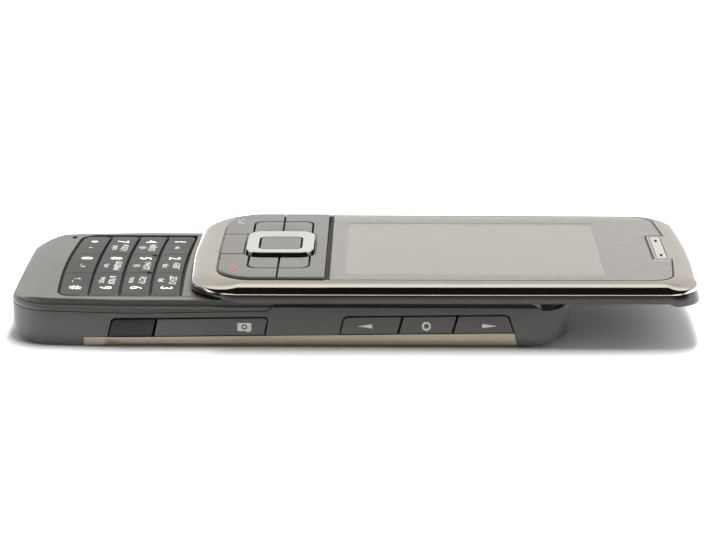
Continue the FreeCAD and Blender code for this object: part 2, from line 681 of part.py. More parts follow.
def release_button():
    """Push button in the back that frees the battery cover."""
    cap = rounded_box(-4.0, 4.0, 47.0, 50.0, 0.95, 2.6, 0.95)
    slope = prism_x([(40, 0.35, 0), (56, 2.35, 0), (56, 9, 0), (40, 9, 0)], -10, 10)
    flange = block(-4.8, 4.8, 46.4, 48.9, 1.62, 2.3)
    return join([cap.common(slope), flange])


def housing_screws():
    screws = []
    for x, y in SCREW_PLACES:
        head = post(x, y, 1.0, 1.9, 1.3)
        shank = post(x, y, 1.8, 5.8, 0.7)
        screws.append(join([head, shank]).cut(post(x, y, 0.9, 1.4, 0.6)))
    return screws


# ---- upper half ---------------------------------------------------------------------------

SLIDE_PLAN = mirrored(
    (0, SLIDE_START_Y, 120),
    [(SLIDE_HALF, SLIDE_START_Y + 1.1, 9.2), (SLIDE_HALF, BOW_Y, BOW_RADIUS),
     (SLIDE_HALF - SLIDE_TAPER, SLIDE_END_Y - 1.2, 6)],
    (0, SLIDE_END_Y, 200))
RIM_PLAN = mirrored(
    (0, -15.2, 160),
    [(RIM_HALF, -14.9, 7.0), (RIM_HALF, BOW_Y, BOW_RADIUS), (RIM_HALF - WINDOW_TAPER, 74.2, 5.0)],
    (0, 75.9, 160))


def shrunk(corners, inset, end_inset):
    """Outline drawn in by about `inset` at the sides and chin end, `end_inset` at the other end."""
    across = 1 - inset / SLIDE_HALF
    along = 1 - (inset + end_inset) / (SLIDE_END_Y - SLIDE_START_Y)
    start = SLIDE_START_Y + inset
    return [(u * across, start + (v - SLIDE_START_Y) * along, r) for u, v, r in corners]


def frame_form():
    """Outer form of the chrome frame, a quarter ellipse between its outer and inner plan."""
    height = RIM_TOP_Z - (SPLIT_Z + 0.35)
    levels = [(SLIDE_PLAN, SPLIT_Z)]
    for degrees in FRAME_STEPS:
        angle = math.radians(degrees)
        plan = blend(SLIDE_PLAN, RIM_PLAN, 1 - math.cos(angle))
        levels.append((plan, SPLIT_Z + 0.35 + height * math.sin(angle)))
    return loft_z(levels)


def window_plan(gap):
    half = WINDOW_HALF + gap
    notch = 8.4 - gap
    end = 74.9 + gap
    right = [(half, WINDOW_START_Y - gap, 0.3), (half, BOW_Y, BOW_RADIUS),
             (half - WINDOW_TAPER, end - 1.3, 4.2), (notch, end, 0.3)]
    notch_floor = [(notch, 71.3 + gap, 0.5), (-notch, 71.3 + gap, 0.5)]
    left = [(-u, v, r) for u, v, r in reversed(right)]
    return right + notch_floor + left


def field_plan(gap):
    half = FIELD_HALF - gap
    return mirrored(
        (0, FIELD_START_Y - 0.1 + gap, 300),
        [(half, FIELD_START_Y + 0.25 + gap, 7.2), (half, FIELD_END_Y - gap, 0.3)],
        (0, FIELD_END_Y - gap, 0))


def upper_frame():
    body = frame_form()
    tools = [
        prism_z(field_plan(0), 5, 20),
        loft_z([(field_plan(0), FIELD_BEVEL_Z), (field_plan(-FIELD_BEVEL), RIM_TOP_Z + 0.01)]),
        # dark groove between the keys and the window
        wide(FIELD_HALF, FIELD_END_Y - 0.1, WINDOW_START_Y, 12.45, 20),
        prism_z(window_plan(0.08), RIM_TOP_Z - WINDOW_THICK - 0.05, 20),
        rounded_box(-22.4, 22.4, 8.3, 70.2, 5, 20, 1.5),
        rounded_box(-14, 14, 70.0, 74.6, 5, RIM_TOP_Z - WINDOW_THICK - 0.6, 1.0),
        wide(6.3, 6.0, 9.0, 5, UI_BOARD_Z + 0.3),
        rounded_box(-7.7, 7.7, 71.9, 74.1, 5, 20, 0.8)]
    return body.cut(Part.makeCompound(tools))


def slide_back_cover():
    """Dark shell of the upper half: bowl-shaped underside, down-turned lip at the earpiece end."""
    form = loft_z([(shrunk(SLIDE_PLAN, 0.5, -0.5), 8.0), (shrunk(SLIDE_PLAN, 0.35, -0.5), SLIDE_RIM_Z),
                   (shrunk(SLIDE_PLAN, 0.15, -0.2), 9.6), (shrunk(SLIDE_PLAN, 0.1, 0.1), SPLIT_Z - 0.03)])
    # the sides hang down around the lower half and rise to the underside near the chin end
    skirt = prism_x([(-40, SLIDE_UNDER_Z, 0), (-15.6, SLIDE_UNDER_Z, 3), (-9.4, SLIDE_RIM_Z, 3),
                     (90, SLIDE_RIM_Z, 0), (90, 12, 0), (-40, 12, 0)], -30, 30)
    skirt = skirt.cut(prism_z(shrunk(SLIDE_PLAN, 0.55, 0.55), 5, SLIDE_UNDER_Z))
    skirt = skirt.cut(wide(SHOULDER_HALF + 0.12, -40, 22, 5, SLIDE_UNDER_Z))
    lip = prism_x([(68.8, 12, 0), (69.9, SLIDE_UNDER_Z, 2), (74.3, LIP_Z, 2.5), (81, LIP_Z, 0),
                   (81, 12, 0)], -30, 30)
    body = form.common(join([skirt, lip]))
    tray_z = 10.45
    tools = [
        prism_z(shrunk(SLIDE_PLAN, 1.6, 1.6), tray_z, 12),
        rounded_box(-SLIDER_HALF - 0.1, SLIDER_HALF + 0.1, -13.1, 49.1, 5, 12, 2.1)]
    return body.cut(Part.makeCompound(tools))


def display_window():
    body = prism_z(window_plan(0), RIM_TOP_Z - WINDOW_THICK, RIM_TOP_Z)
    top = [e for e in body.Edges if e.BoundBox.ZMin > RIM_TOP_Z - 0.01]
    return body.makeFillet(0.12, top)


def display_module():
    tray = rounded_box(-21.2, 21.2, 8.6, 64.5, 10.9, 11.9, 0.8)
    glass = rounded_box(-19.8, 19.8, 9.4, 62.6, 11.9, 12.4, 0.4)
    return join([tray, glass])


def earpiece_grille():
    """Silver bar with a slot near each end, in the notch of the window."""
    bar = rounded_box(-7.6, 7.6, 72.0, 74.0, 12.4, RIM_TOP_Z - 0.05, 0.75)
    slots = [rounded_box(x - 1.1, x + 1.1, 72.75, 73.25, 12, 14, 0.24) for x in (-5.2, 5.2)]
    return bar.cut(Part.makeCompound(slots))


def earpiece_speaker():
    return rounded_box(-6.5, 6.5, 70.8, 74.4, 10.6, 11.75, 1.0)


def front_camera():
    return join([rounded_box(15.0, 19.4, 65.6, 70.0, 10.6, 11.9, 0.4), post(17.2, 67.8, 11.8, 12.4, 1.3)])


def ui_key_places():
    """Switch places under the keys of the upper half."""
    return {"call_key": (-19.8, -8.5), "end_key": (19.8, -8.5), "clear_key": (0, -12.0),
            "shortcut_upper_left": (-12.4, 0.5), "shortcut_upper_right": (12.4, 0.5),
            "shortcut_lower_left": (-12.4, -5.8), "shortcut_lower_right": (12.4, -5.8),
            "select_key": (0, RING_Y)}


def slide_board():
    board = prism_z([(-22.9, -14.0, 6.9), (22.9, -14.0, 6.9), (22.9, 6.7, 0.5), (-22.9, 6.7, 0.5)],
                    UI_BOARD_Z, UI_BOARD_Z + 0.5)
    tail = block(-6, 6, 5, 69, UI_BOARD_Z, UI_BOARD_Z + 0.2)
    top = UI_BOARD_Z + 0.5
    places = list(ui_key_places().values())
    places += [(-20.0, 2.4), (20.0, 2.4), (0, RING_Y + 5), (0, RING_Y - 5), (5.8, RING_Y), (-5.8, RING_Y)]
    pads = [post(x, y, top - 0.05, top + 0.2, 1.2) for x, y in places]
    return join([board, tail] + pads)


def upper_key_mat():
    """Silicone sheet that carries the caps of the upper keys, open under the navigation key."""
    sheet = prism_z(field_plan(0.5), 11.85, 12.15)
    holes = [ring_plan(RING_HALF, 3.0, 0.3, 5, 20)]
    stems = [xy for name, xy in ui_key_places().items() if name != "select_key"]
    for x, y in stems + [(-20.0, 2.4), (20.0, 2.4)]:
        holes.append(post(x, y, 5, 20, 1.05))
    return sheet.cut(Part.makeCompound(holes))


def key_field():
    """All the upper keys as one block with a rounded edge, dipping to the ring in its middle."""
    levels = [(field_plan(KEY_GAP), CAP_BOTTOM_Z)]
    levels += [(field_plan(KEY_GAP + inset), z) for inset, z in KEY_TOP_STEPS]
    dip = loft_z([(ring_corners(RING_HALF, 3.0, 0.3), 13.2),
                  (ring_corners((RING_HALF[0] + 2.3, RING_HALF[1] + 0.5), 3.4, 0), 13.85)])
    return loft_z(levels).cut(dip)


def shortcut_block(gap):
    corners = [(-BLOCK_X - gap, BLOCK_Y[0] - gap, 2.0), (BLOCK_X + gap, BLOCK_Y[0] - gap, 2.0),
               (BLOCK_X + gap, BLOCK_Y[1] + gap, 2.0), (-BLOCK_X - gap, BLOCK_Y[1] + gap, 2.0)]
    return prism_z(corners, 5, 20)


def ring_corners(half, radius, gap):
    """Rounded rectangle round the middle of the navigation key."""
    across = half[0] + gap
    along = half[1] + gap
    return [(-across, RING_Y - along, radius + gap), (across, RING_Y - along, radius + gap),
            (across, RING_Y + along, radius + gap), (-across, RING_Y + along, radius + gap)]


def ring_plan(half, radius, gap, z0, z1):
    return prism_z(ring_corners(half, radius, gap), z0, z1)


def ui_key(zone, tools, stems):
    """One key of the upper half: its part of the key field, with stems to the board."""
    body = key_field().common(zone)
    body = body.cut(Part.makeCompound(tools))
    stem_low = UI_BOARD_Z + 0.5 + 0.2 + KEY_TRAVEL + 0.05
    pieces = [body]
    for x, y in stems:
        pieces.append(post(x, y, stem_low, CAP_BOTTOM_Z + 0.1, 0.9))
    return join(pieces)


def upper_keys():
    half = UPPER_GAP / 2
    ring = ring_plan(RING_HALF, 3.0, KEY_GAP, 5, 20)
    around = [shortcut_block(half), ring]
    places = ui_key_places()
    low_y = SPLIT_Y - half
    high_y = SPLIT_Y + half
    keys = {
        "call_key": ui_key(block(-30, -CENTRE_HALF - half, -30, low_y, 5, 20), around,
                           [places["call_key"]]),
        "end_key": ui_key(block(CENTRE_HALF + half, 30, -30, low_y, 5, 20), around,
                          [places["end_key"]]),
        "clear_key": ui_key(wide(CENTRE_HALF - half, -30, RING_Y, 5, 20), around,
                            [places["clear_key"]]),
        "soft_key_rocker": ui_key(wide(30, high_y, 30, 5, 20), around,
                                  [(-20.0, 2.4), (20.0, 2.4)])}
    for side, sign in (("left", -1), ("right", 1)):
        for level, y0, y1 in (("lower", -30, low_y), ("upper", high_y, 30)):
            x0, x1 = sorted((sign * 5, sign * 30))
            zone = block(x0, x1, y0, y1, 5, 20).common(shortcut_block(-half))
            name = "shortcut_" + level + "_" + side
            keys[name] = ui_key(zone, [ring], [places[name]])
    return keys


def navi_ring():
    body = ring_plan(RING_HALF, 3.0, 0, 12.65, RING_TOP_Z)
    rims = [e for e in body.Edges if e.BoundBox.ZMin > RING_TOP_Z - 0.01]
    body = body.makeFillet(0.35, rims)
    dish = loft_z([(ring_corners(RING_HOLE, 1.5, 0), RING_HOLE_Z),
                   (ring_corners((7.3, 6.35), 2.6, 0), RING_TOP_Z + 0.01)])
    return body.cut(ring_plan(RING_HOLE, 1.5, 0, 10, 20)).cut(dish)


def navi_plate():
    """Rocking plate under the ring, with a nub over each of its four switches."""
    plate = ring_plan((7.0, 6.1), 2.6, 0, 12.0, 12.42)
    plate = plate.cut(ring_plan((1.9, 1.9), 1.8, 0, 10, 20))
    nubs = []
    for x, y in ((0, 5.0), (0, -5.0), (5.8, 0), (-5.8, 0)):
        nubs.append(post(x, RING_Y + y, 11.62, 12.1, 0.7))
    return join([plate] + nubs)


def select_key():
    cap = ring_plan((RING_HOLE[0] - 0.35, RING_HOLE[1] - 0.35), 1.3, 0, 12.87, SELECT_TOP_Z)
    rims = [e for e in cap.Edges if e.BoundBox.ZMin > SELECT_TOP_Z - 0.01]
    cap = cap.makeFillet(0.2, rims)
    stem_low = UI_BOARD_Z + 0.5 + 0.2 + KEY_TRAVEL + 0.05
    return join([cap, post(0, RING_Y, stem_low, 13.0, 1.2)])


# ---- write every piece --------------------------------------------------------------------


def main():
    envelope = base_envelope()
    save("lower_housing", lower_housing(envelope))
    save("front_cover", front_cover(envelope))
    save("battery_cover", battery_cover(envelope))
    save("infrared_window", side_piece("infrared_window", 0.0))
    for name in ("camera_key", "volume_down_key", "voice_key", "volume_up_key"):
        save(name, side_piece(name, 0.1))
    save("power_key", power_key())
    save("edge_switches", *edge_switches())
    save("slide_rails", slide_rails())
    save("slide_spring", slide_spring())
    save("slide_flex", slide_flex())
    save("main_board", main_board())
    save("board_shields", *board_shields())
    save("keypad_mat", keypad_mat())
    for row, names in enumerate(KEY_NAMES):
        for column, name in enumerate(names):
            save(name, number_key(row, column))
    save("camera_module", camera_module())
    save("camera_window", camera_window())
    save("battery", battery())
    save("loudspeaker", loudspeaker())
    save("vibration_motor", vibration_motor())
    save("charger_jack", charger_jack())
    save("headset_jack", headset_jack())
    save("sim_holder", sim_holder())
    save("antenna", antenna())
    save("cover_release_button", release_button())
    save("housing_screws", *housing_screws())

    save("upper_frame", upper_frame())
    save("slide_back_cover", slide_back_cover())
    save("slider_plate", slider_plate())
    save("display_window", display_window())
    save("display_module", display_module())
    save("earpiece_grille", earpiece_grille())
    save("earpiece_speaker", earpiece_speaker())
    save("front_camera", front_camera())
    save("slide_board", slide_board())
    save("upper_key_mat", upper_key_mat())
    for name, key in upper_keys().items():
        save(name, key)
    save("navi_ring", navi_ring())
    save("navi_plate", navi_plate())
    save("select_key", select_key())


main()
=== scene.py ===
"""Looks of a slider phone, shown open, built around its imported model.

Sizes in the classes are millimetres in the phone's own frame: +X is its right-hand side, +Y points
to the earpiece end and +Z out of the screen. Meshes are in metres.
"""
import json
import logging
import math
from dataclasses import dataclass
from enum import Enum
from typing import Callable, Sequence

import bmesh
import bpy
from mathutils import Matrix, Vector

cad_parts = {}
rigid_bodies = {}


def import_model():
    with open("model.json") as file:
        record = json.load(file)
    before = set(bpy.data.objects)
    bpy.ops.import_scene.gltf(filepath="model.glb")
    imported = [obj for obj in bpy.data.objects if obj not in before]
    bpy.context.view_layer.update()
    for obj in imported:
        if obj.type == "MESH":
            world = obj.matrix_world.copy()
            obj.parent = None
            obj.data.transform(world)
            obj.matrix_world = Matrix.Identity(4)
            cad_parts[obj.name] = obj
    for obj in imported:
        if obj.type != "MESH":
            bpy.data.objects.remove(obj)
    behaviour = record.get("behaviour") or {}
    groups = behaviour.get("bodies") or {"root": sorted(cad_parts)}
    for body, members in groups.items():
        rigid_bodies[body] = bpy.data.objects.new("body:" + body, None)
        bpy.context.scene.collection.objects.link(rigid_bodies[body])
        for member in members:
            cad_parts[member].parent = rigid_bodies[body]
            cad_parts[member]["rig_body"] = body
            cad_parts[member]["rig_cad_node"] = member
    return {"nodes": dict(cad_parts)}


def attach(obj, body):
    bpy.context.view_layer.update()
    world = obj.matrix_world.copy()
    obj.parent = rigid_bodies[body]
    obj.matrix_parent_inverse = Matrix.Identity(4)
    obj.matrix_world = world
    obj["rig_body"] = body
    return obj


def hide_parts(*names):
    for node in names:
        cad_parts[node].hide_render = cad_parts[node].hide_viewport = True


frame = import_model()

MM = 0.001
ROUNDED_FROM = 40  # degrees: sharper edges of a solid are rounded
Triple = tuple[float, float, float]
Corner = Triple  # x, y and rounding radius
Corners = Sequence[Corner]
Level = tuple[Corners, float]
Span = tuple[float, float]
Colour = tuple[float, float, float, float]
Piece = bpy.types.Object
Socket = bpy.types.NodeSocket
Tree = bpy.types.NodeTree
log = logging.getLogger("slider_phone")


# ---- materials


def linear(code: str) -> Colour:
    """Linear colour with full alpha of an sRGB hex code."""
    shares = [int(code[i:i + 2], 16) / 255 for i in (1, 3, 5)]
    return (*[s / 12.92 if s <= 0.04045 else ((s + 0.055) / 1.055) ** 2.4 for s in shares], 1.0)


def add_node(tree: Tree, kind: str, values: dict | None = None) -> bpy.types.Node:
    """Add one node and fill it in.

    Args:
        tree: The tree that takes the node.
        kind: The node's type name without "ShaderNode".
        values: Inputs by name or number, and properties by name. A socket is linked, the rest is set.

    Returns:
        The new node.
    """
    node = tree.nodes.new("ShaderNode" + kind)
    for name, value in (values or {}).items():
        if isinstance(value, Socket):
            tree.links.new(value, node.inputs[name])
        elif isinstance(name, int) or name in node.inputs:
            node.inputs[name].default_value = value
        else:
            setattr(node, name, value)
    return node


def empty_tree(owner: bpy.types.ID) -> Tree:
    """Switch on the nodes of a material or a world, and clear them.

    Args:
        owner: The material or world.

    Returns:
        Its node tree.
    """
    owner.use_nodes = True
    owner.node_tree.nodes.clear()
    return owner.node_tree


def reckon(tree: Tree, operation: str, *values: Socket | float) -> Socket:
    """Number worked out from sockets and plain numbers."""
    return add_node(tree, "Math", {"operation": operation, **dict(enumerate(values))}).outputs[0]


def graded(tree: Tree, value: Socket, source: Span, goal: Span = (0.0, 1.0)) -> Socket:
    """Number that runs through goal while value runs through source, and stays within goal."""
    names = ("Value", "From Min", "From Max", "To Min", "To Max")
    return add_node(tree, "MapRange", dict(zip(names, (value, *source, *goal)))).outputs[0]


def between(tree: Tree, share: Socket, first: Socket | Colour, second: Socket | Colour) -> Socket:
    """Colour that goes from the first to the second as share goes from 0 to 1."""
    return add_node(tree, "Mix", {"data_type": "RGBA", 0: share, 6: first, 7: second}).outputs[2]


class Grain(Enum):
    """How a surface's fine texture was made."""
    MOULDED = "even grain of a spark-eroded mould"
    FLAKED = "sprayed paint with metal flakes"
    BRUSHED = "long parallel scratches"
    POLISHED = "polished, with a faint waviness"


@dataclass(frozen=True)
class Finish:
    """One surface finish and how it meets the light."""
    name: str
    colour: str
    second: str  # the colour that the grain varies to
    grain: Grain = Grain.MOULDED
    grain_mm: float = 0.25  # size of one grain
    stretch: Triple = (1, 1, 1)  # grain length along X, Y and Z
    relief_mm: float = 0.004  # height of the grain
    patch_mm: float = 14.0  # size of the slow changes in gloss
    roughness: Span = (0.4, 0.5)
    metallic: float = 0.0
    ior: float = 1.5
    coat: float = 0.0
    coat_roughness: float = 0.05
    anisotropic: float = 0.0
    transmission: float = 0.0

    def grain_socket(self, tree: Tree, place: Socket) -> Socket:
        """Fine pattern of the surface, from 0 to 1.

        Args:
            tree: The material's tree.
            place: Object coordinates.

        Returns:
            The pattern's output socket.
        """
        scale = [1 / (self.grain_mm * MM * length) for length in self.stretch]
        scaled = add_node(tree, "Mapping", {"Scale": scale, "Vector": place}).outputs["Vector"]
        if self.grain is Grain.FLAKED:
            cells = add_node(tree, "TexVoronoi", {"Scale": 1.0, "Vector": scaled})
            return add_node(tree, "SeparateColor", {"Color": cells.outputs["Color"]}).outputs["Red"]
        detail = {Grain.MOULDED: 3.0, Grain.BRUSHED: 5.0, Grain.POLISHED: 1.0}[self.grain]
        return add_node(tree, "TexNoise", {"Scale": 1.0, "Detail": detail, "Roughness": 0.6,
                                           "Vector": scaled}).outputs["Fac"]

    def colour_socket(self, tree: Tree, place: Socket, pattern: Socket) -> Socket:
        """Colour that varies with the grain's pattern."""
        return between(tree, pattern, linear(self.colour), linear(self.second))

    def material(self) -> bpy.types.Material:
        """The node material of this finish, made once.

        Returns:
            The material.
        """
        known = bpy.data.materials.get(self.name)
        if known:
            return known
        made = bpy.data.materials.new(self.name)
        tree = empty_tree(made)
        place = add_node(tree, "TexCoord").outputs["Object"]
        pattern = self.grain_socket(tree, place)
        bump = add_node(tree, "Bump", {"Distance": self.relief_mm * MM, "Height": pattern})
        values = {"Base Color": self.colour_socket(tree, place, pattern), "Metallic": self.metallic,
                  "Roughness": self.roughness[0], "Normal": bump.outputs["Normal"],
                  "Coat Weight": self.coat, "Coat Roughness": self.coat_roughness,
                  "Anisotropic": self.anisotropic, "Transmission Weight": self.transmission}
        if not self.metallic:
            values["IOR"] = self.ior
        if self.roughness[0] < self.roughness[1]:
            patches = add_node(tree, "TexNoise", {"Scale": 1 / (self.patch_mm * MM), "Detail": 2.0,
                                                  "Vector": place})
            values["Roughness"] = graded(tree, patches.outputs["Fac"], (0.3, 0.7), self.roughness)
        shader = add_node(tree, "BsdfPrincipled", values)
        add_node(tree, "OutputMaterial", {"Surface": shader.outputs["BSDF"]})
        return made


@dataclass(frozen=True)
class Panel(Finish):
    """A display that is switched off: a paler field with a dark rim round it."""
    rim: str = "#5c5954"
    field_x: Span = (-18.3, 18.3)
    field_y: Span = (10.7, 60.8)

    def colour_socket(self, tree: Tree, place: Socket, pattern: Socket) -> Socket:
        """Grain colour inside the field, and the rim's colour outside it.

        Args:
            tree: The material's tree.
            place: Object coordinates.
            pattern: The grain, from 0 to 1.

        Returns:
            The colour's output socket.
        """
        inner = super().colour_socket(tree, place, pattern)
        axes = add_node(tree, "SeparateXYZ", {"Vector": place}).outputs
        inside = []
        for axis, (low, high) in (("X", self.field_x), ("Y", self.field_y)):
            offset = reckon(tree, "SUBTRACT", axes[axis], (low + high) / 2 * MM)
            reach = reckon(tree, "ABSOLUTE", offset)
            inside.append(reckon(tree, "LESS_THAN", reach, (high - low) / 2 * MM))
        return between(tree, reckon(tree, "MULTIPLY", *inside), linear(self.rim), inner)


# Metallic grey paint on plastic: a soft sheen with flakes that just show. The real flakes are 0.03 mm;
# these are larger.
HOUSING_PAINT = Finish(
    "housing_paint", "#525250", "#595957", Grain.FLAKED, 0.16, relief_mm=0.0012, roughness=(0.36, 0.44),
    metallic=0.25, coat=0.15, coat_roughness=0.3)
# The same paint on the front cover, with a little more gloss.
COVER_PAINT = Finish(
    "cover_paint", "#5a5a57", "#62625e", Grain.FLAKED, 0.16, relief_mm=0.0012, roughness=(0.32, 0.40),
    metallic=0.25, coat=0.2, coat_roughness=0.25)
# Anodised steel with a champagne tint, brushed along the phone: streaks that run lengthways.
CHAMPAGNE_STEEL = Finish(
    "champagne_steel", "#a99f8d", "#908777", Grain.BRUSHED, 0.12, (1, 60, 1), 0.003, 20.0, (0.3, 0.42),
    metallic=0.85, anisotropic=0.4)
# Number keys: painted polycarbonate, satin, a shade darker than the cover.
NUMBER_KEY_PAINT = Finish(
    "number_key_paint", "#2a2a28", "#31312f", Grain.FLAKED, 0.14, relief_mm=0.001, roughness=(0.38, 0.46),
    metallic=0.1)
# Side keys: the housing's paint, moulded a little smoother.
SIDE_KEY_PAINT = Finish(
    "side_key_paint", "#4f4e4c", "#565553", Grain.FLAKED, 0.14, relief_mm=0.001, roughness=(0.33, 0.4),
    metallic=0.25, coat=0.15, coat_roughness=0.25)
# Infrared window: smoked polycarbonate, nearly black, glossy.
SMOKED_PLASTIC = Finish(
    "smoked_plastic", "#0b0a09", "#0f0e0d", Grain.POLISHED, 3.0, relief_mm=0.001, roughness=(0.16, 0.24),
    ior=1.4)
# Plated rim: polished steel under a warm tint that mirrors the room, with a faint waviness.
WARM_CHROME = Finish(
    "warm_chrome", "#c6c2ba", "#bdb8af", Grain.POLISHED, 9.0, relief_mm=0.002, patch_mm=18.0,
    roughness=(0.05, 0.09), metallic=1.0)
# Bright chrome of the ring and the grille: neutral and nearly white.
BRIGHT_CHROME = Finish(
    "bright_chrome", "#efefed", "#e6e6e4", Grain.POLISHED, 6.0, relief_mm=0.002, roughness=(0.07, 0.12),
    metallic=1.0)
# Lower shell of the upper half: black-brown painted metal with a deep gloss.
SHELL_PAINT = Finish(
    "shell_paint", "#151413", "#1a1918", Grain.FLAKED, 0.2, relief_mm=0.001, roughness=(0.18, 0.26),
    metallic=0.3, coat=0.6, coat_roughness=0.08)
# Upper keys: clear-coated silver-grey plastic that mirrors softly.
GLOSS_KEY = Finish(
    "gloss_key", "#474541", "#4d4b47", Grain.FLAKED, 0.12, relief_mm=0.0005, roughness=(0.22, 0.3),
    metallic=0.25, coat=0.7, coat_roughness=0.04)
# Window: moulded acrylic with a hard coat, clear and smooth, so that only its mirroring shows.
CLEAR_ACRYLIC = Finish(
    "clear_acrylic", "#fffdf8", "#fbf9f4", Grain.POLISHED, 30.0, relief_mm=0.0, roughness=(0.0, 0.0),
    ior=1.49, transmission=1.0)
# Print on the back of the window: silver-grey screen ink with fine flakes.
SILVER_INK = Finish(
    "silver_ink", "#3a3735", "#403d3b", Grain.FLAKED, 0.12, relief_mm=0.0005, roughness=(0.22, 0.3),
    metallic=0.35, coat=1.0, coat_roughness=0.02)
# Liquid crystal display that is off: pale grey mirror-like film with a dark rim.
DISPLAY_FILM = Panel(
    "display_film", "#9e9b96", "#a4a19c", Grain.MOULDED, 0.2, relief_mm=0.0004, roughness=(0.12, 0.18),
    coat=1.0, coat_roughness=0.02)
# Painted shade: glossy black on the plated ring's outer wall in place of its chrome; it mirrors the keys
# around it.
PAINTED_SHADE_GLOSS = Finish(
    "painted_shade_gloss", "#080808", "#0c0c0c", Grain.POLISHED, 4.0, relief_mm=0.0005, roughness=(0.1, 0.16),
    ior=1.35)
# Silicone rubber: matt and black. Also painted shade on the number keys' walls, the groove strip and the find
# marks.
BLACK_SILICONE_AND_PAINTED_SHADE = Finish(
    "black_silicone", "#121212", "#1a1a1a", grain_mm=0.4, relief_mm=0.01, roughness=(0.65, 0.8), ior=1.41)
# Rolled steel sheet: cool grey with rolling marks along the phone.
STEEL_SHEET = Finish(
    "steel_sheet", "#a9abad", "#8e9092", Grain.BRUSHED, 0.15, (1, 40, 1), 0.002, roughness=(0.25, 0.38),
    metallic=1.0)
# Circuit board: green solder mask over copper, slightly uneven.
SOLDER_MASK = Finish(
    "solder_mask", "#1d4a2b", "#2c6a3c", grain_mm=1.1, relief_mm=0.01, roughness=(0.3, 0.45), ior=1.55)
# Polyimide ribbon: amber film.
POLYIMIDE = Finish(
    "polyimide", "#7a4a16", "#955f20", Grain.BRUSHED, 0.5, (1, 30, 1), 0.004, roughness=(0.25, 0.35), ior=1.7)
# Glass-filled black plastic of sockets, speaker and antenna: matt, with a coarse grain.
BLACK_PLASTIC = Finish(
    "black_plastic", "#181818", "#202020", grain_mm=0.3, relief_mm=0.006, roughness=(0.45, 0.6), ior=1.53)
# Nickel-plated can of the motor.
NICKEL = Finish(
    "nickel", "#b9b5ad", "#a29e96", Grain.POLISHED, 2.0, relief_mm=0.002, roughness=(0.18, 0.3), metallic=1.0)
# Battery sleeve: pale grey printed film.
BATTERY_SLEEVE = Finish(
    "battery_sleeve", "#5c6066", "#666a70", grain_mm=0.5, relief_mm=0.004, roughness=(0.4, 0.5))
# Camera window: black-backed glass, dark and sharp.
LENS_GLASS = Finish(
    "lens_glass", "#08090c", "#0d0e12", Grain.POLISHED, 4.0, relief_mm=0.0004, roughness=(0.02, 0.05),
    ior=1.52, coat=1.0, coat_roughness=0.01)
# Screen-printed legends: opaque ink, matt.
WHITE_INK = Finish("white_ink", "#f2f2ee", "#e4e4e0", grain_mm=0.15, relief_mm=0.001, roughness=(0.5, 0.6))
GREY_INK = Finish("grey_ink", "#c3c3be", "#b4b4af", grain_mm=0.15, relief_mm=0.001, roughness=(0.5, 0.6))
RED_INK = Finish("red_ink", "#b35a62", "#a54f57", grain_mm=0.15, relief_mm=0.001, roughness=(0.4, 0.5))
GREEN_INK = Finish("green_ink", "#7f948a", "#768a80", grain_mm=0.15, relief_mm=0.001, roughness=(0.4, 0.5))


# ---- modelling


class Pick(Enum):
    """What is selected in edit mode."""
    VERTICES = "VERT"
    EDGES = "EDGE"


def free() -> None:
    """Leave edit mode and deselect everything."""
    if bpy.context.object and bpy.context.object.mode != "OBJECT":
        bpy.ops.object.mode_set(mode="OBJECT")
    bpy.ops.object.select_all(action="DESELECT")


def take(piece: Piece) -> None:
    """Select one piece alone and make it active.

    Args:
        piece: The piece.
    """
    free()
    piece.select_set(True)
    bpy.context.view_layer.objects.active = piece


def edit(piece: Piece) -> None:
    """Take one piece into edit mode, all of it selected.

    Args:
        piece: The piece.
    """
    take(piece)
    bpy.ops.object.mode_set(mode="EDIT")
    bpy.ops.mesh.select_all(action="SELECT")


def added(name: str) -> Piece:
    """Name the primitive that was just added.

    Args:
        name: Its name.

    Returns:
        The primitive.
    """
    piece = bpy.context.object
    piece.name = name
    piece.data.name = name
    return piece


def select(piece: Piece, pick: Pick, test: Callable) -> None:
    """Select the parts of a mesh in edit mode that pass a test.

    Args:
        piece: The piece in edit mode.
        pick: Whether vertices or edges are tested.
        test: Takes one of them and says whether it is selected.
    """
    bpy.ops.mesh.select_mode(type=pick.value)
    bpy.ops.mesh.select_all(action="DESELECT")
    mesh = bmesh.from_edit_mesh(piece.data)
    parts = {Pick.VERTICES: mesh.verts, Pick.EDGES: mesh.edges}[pick]
    for part in [part for part in parts if test(part)]:
        part.select_set(True)
    mesh.select_flush_mode()
    bmesh.update_edit_mesh(piece.data)


def modify(piece: Piece, kind: str, **settings) -> None:
    """Add one modifier and apply it.

    Args:
        piece: The piece.
        kind: The modifier's type.
        settings: Its values by name.
    """
    take(piece)
    modifier = piece.modifiers.new(kind.lower(), kind)
    for name, value in settings.items():
        setattr(modifier, name, value)
    bpy.ops.object.modifier_apply(modifier=modifier.name)


def close(piece: Piece) -> None:
    """Merge doubles and point all faces outwards.

    Args:
        piece: The piece.
    """
    edit(piece)
    bpy.ops.mesh.remove_doubles(threshold=0.0005 * MM)
    bpy.ops.mesh.normals_make_consistent(inside=False)
    free()


def smooth(piece: Piece, degrees: float = 30) -> None:
    """Shade smooth, with flat faces kept flat.

    Args:
        piece: The piece.
        degrees: Edges sharper than this stay sharp.
    """
    take(piece)
    bpy.ops.object.shade_smooth_by_angle(angle=math.radians(degrees))
    modify(piece, "WEIGHTED_NORMAL", keep_sharp=True, weight=50)


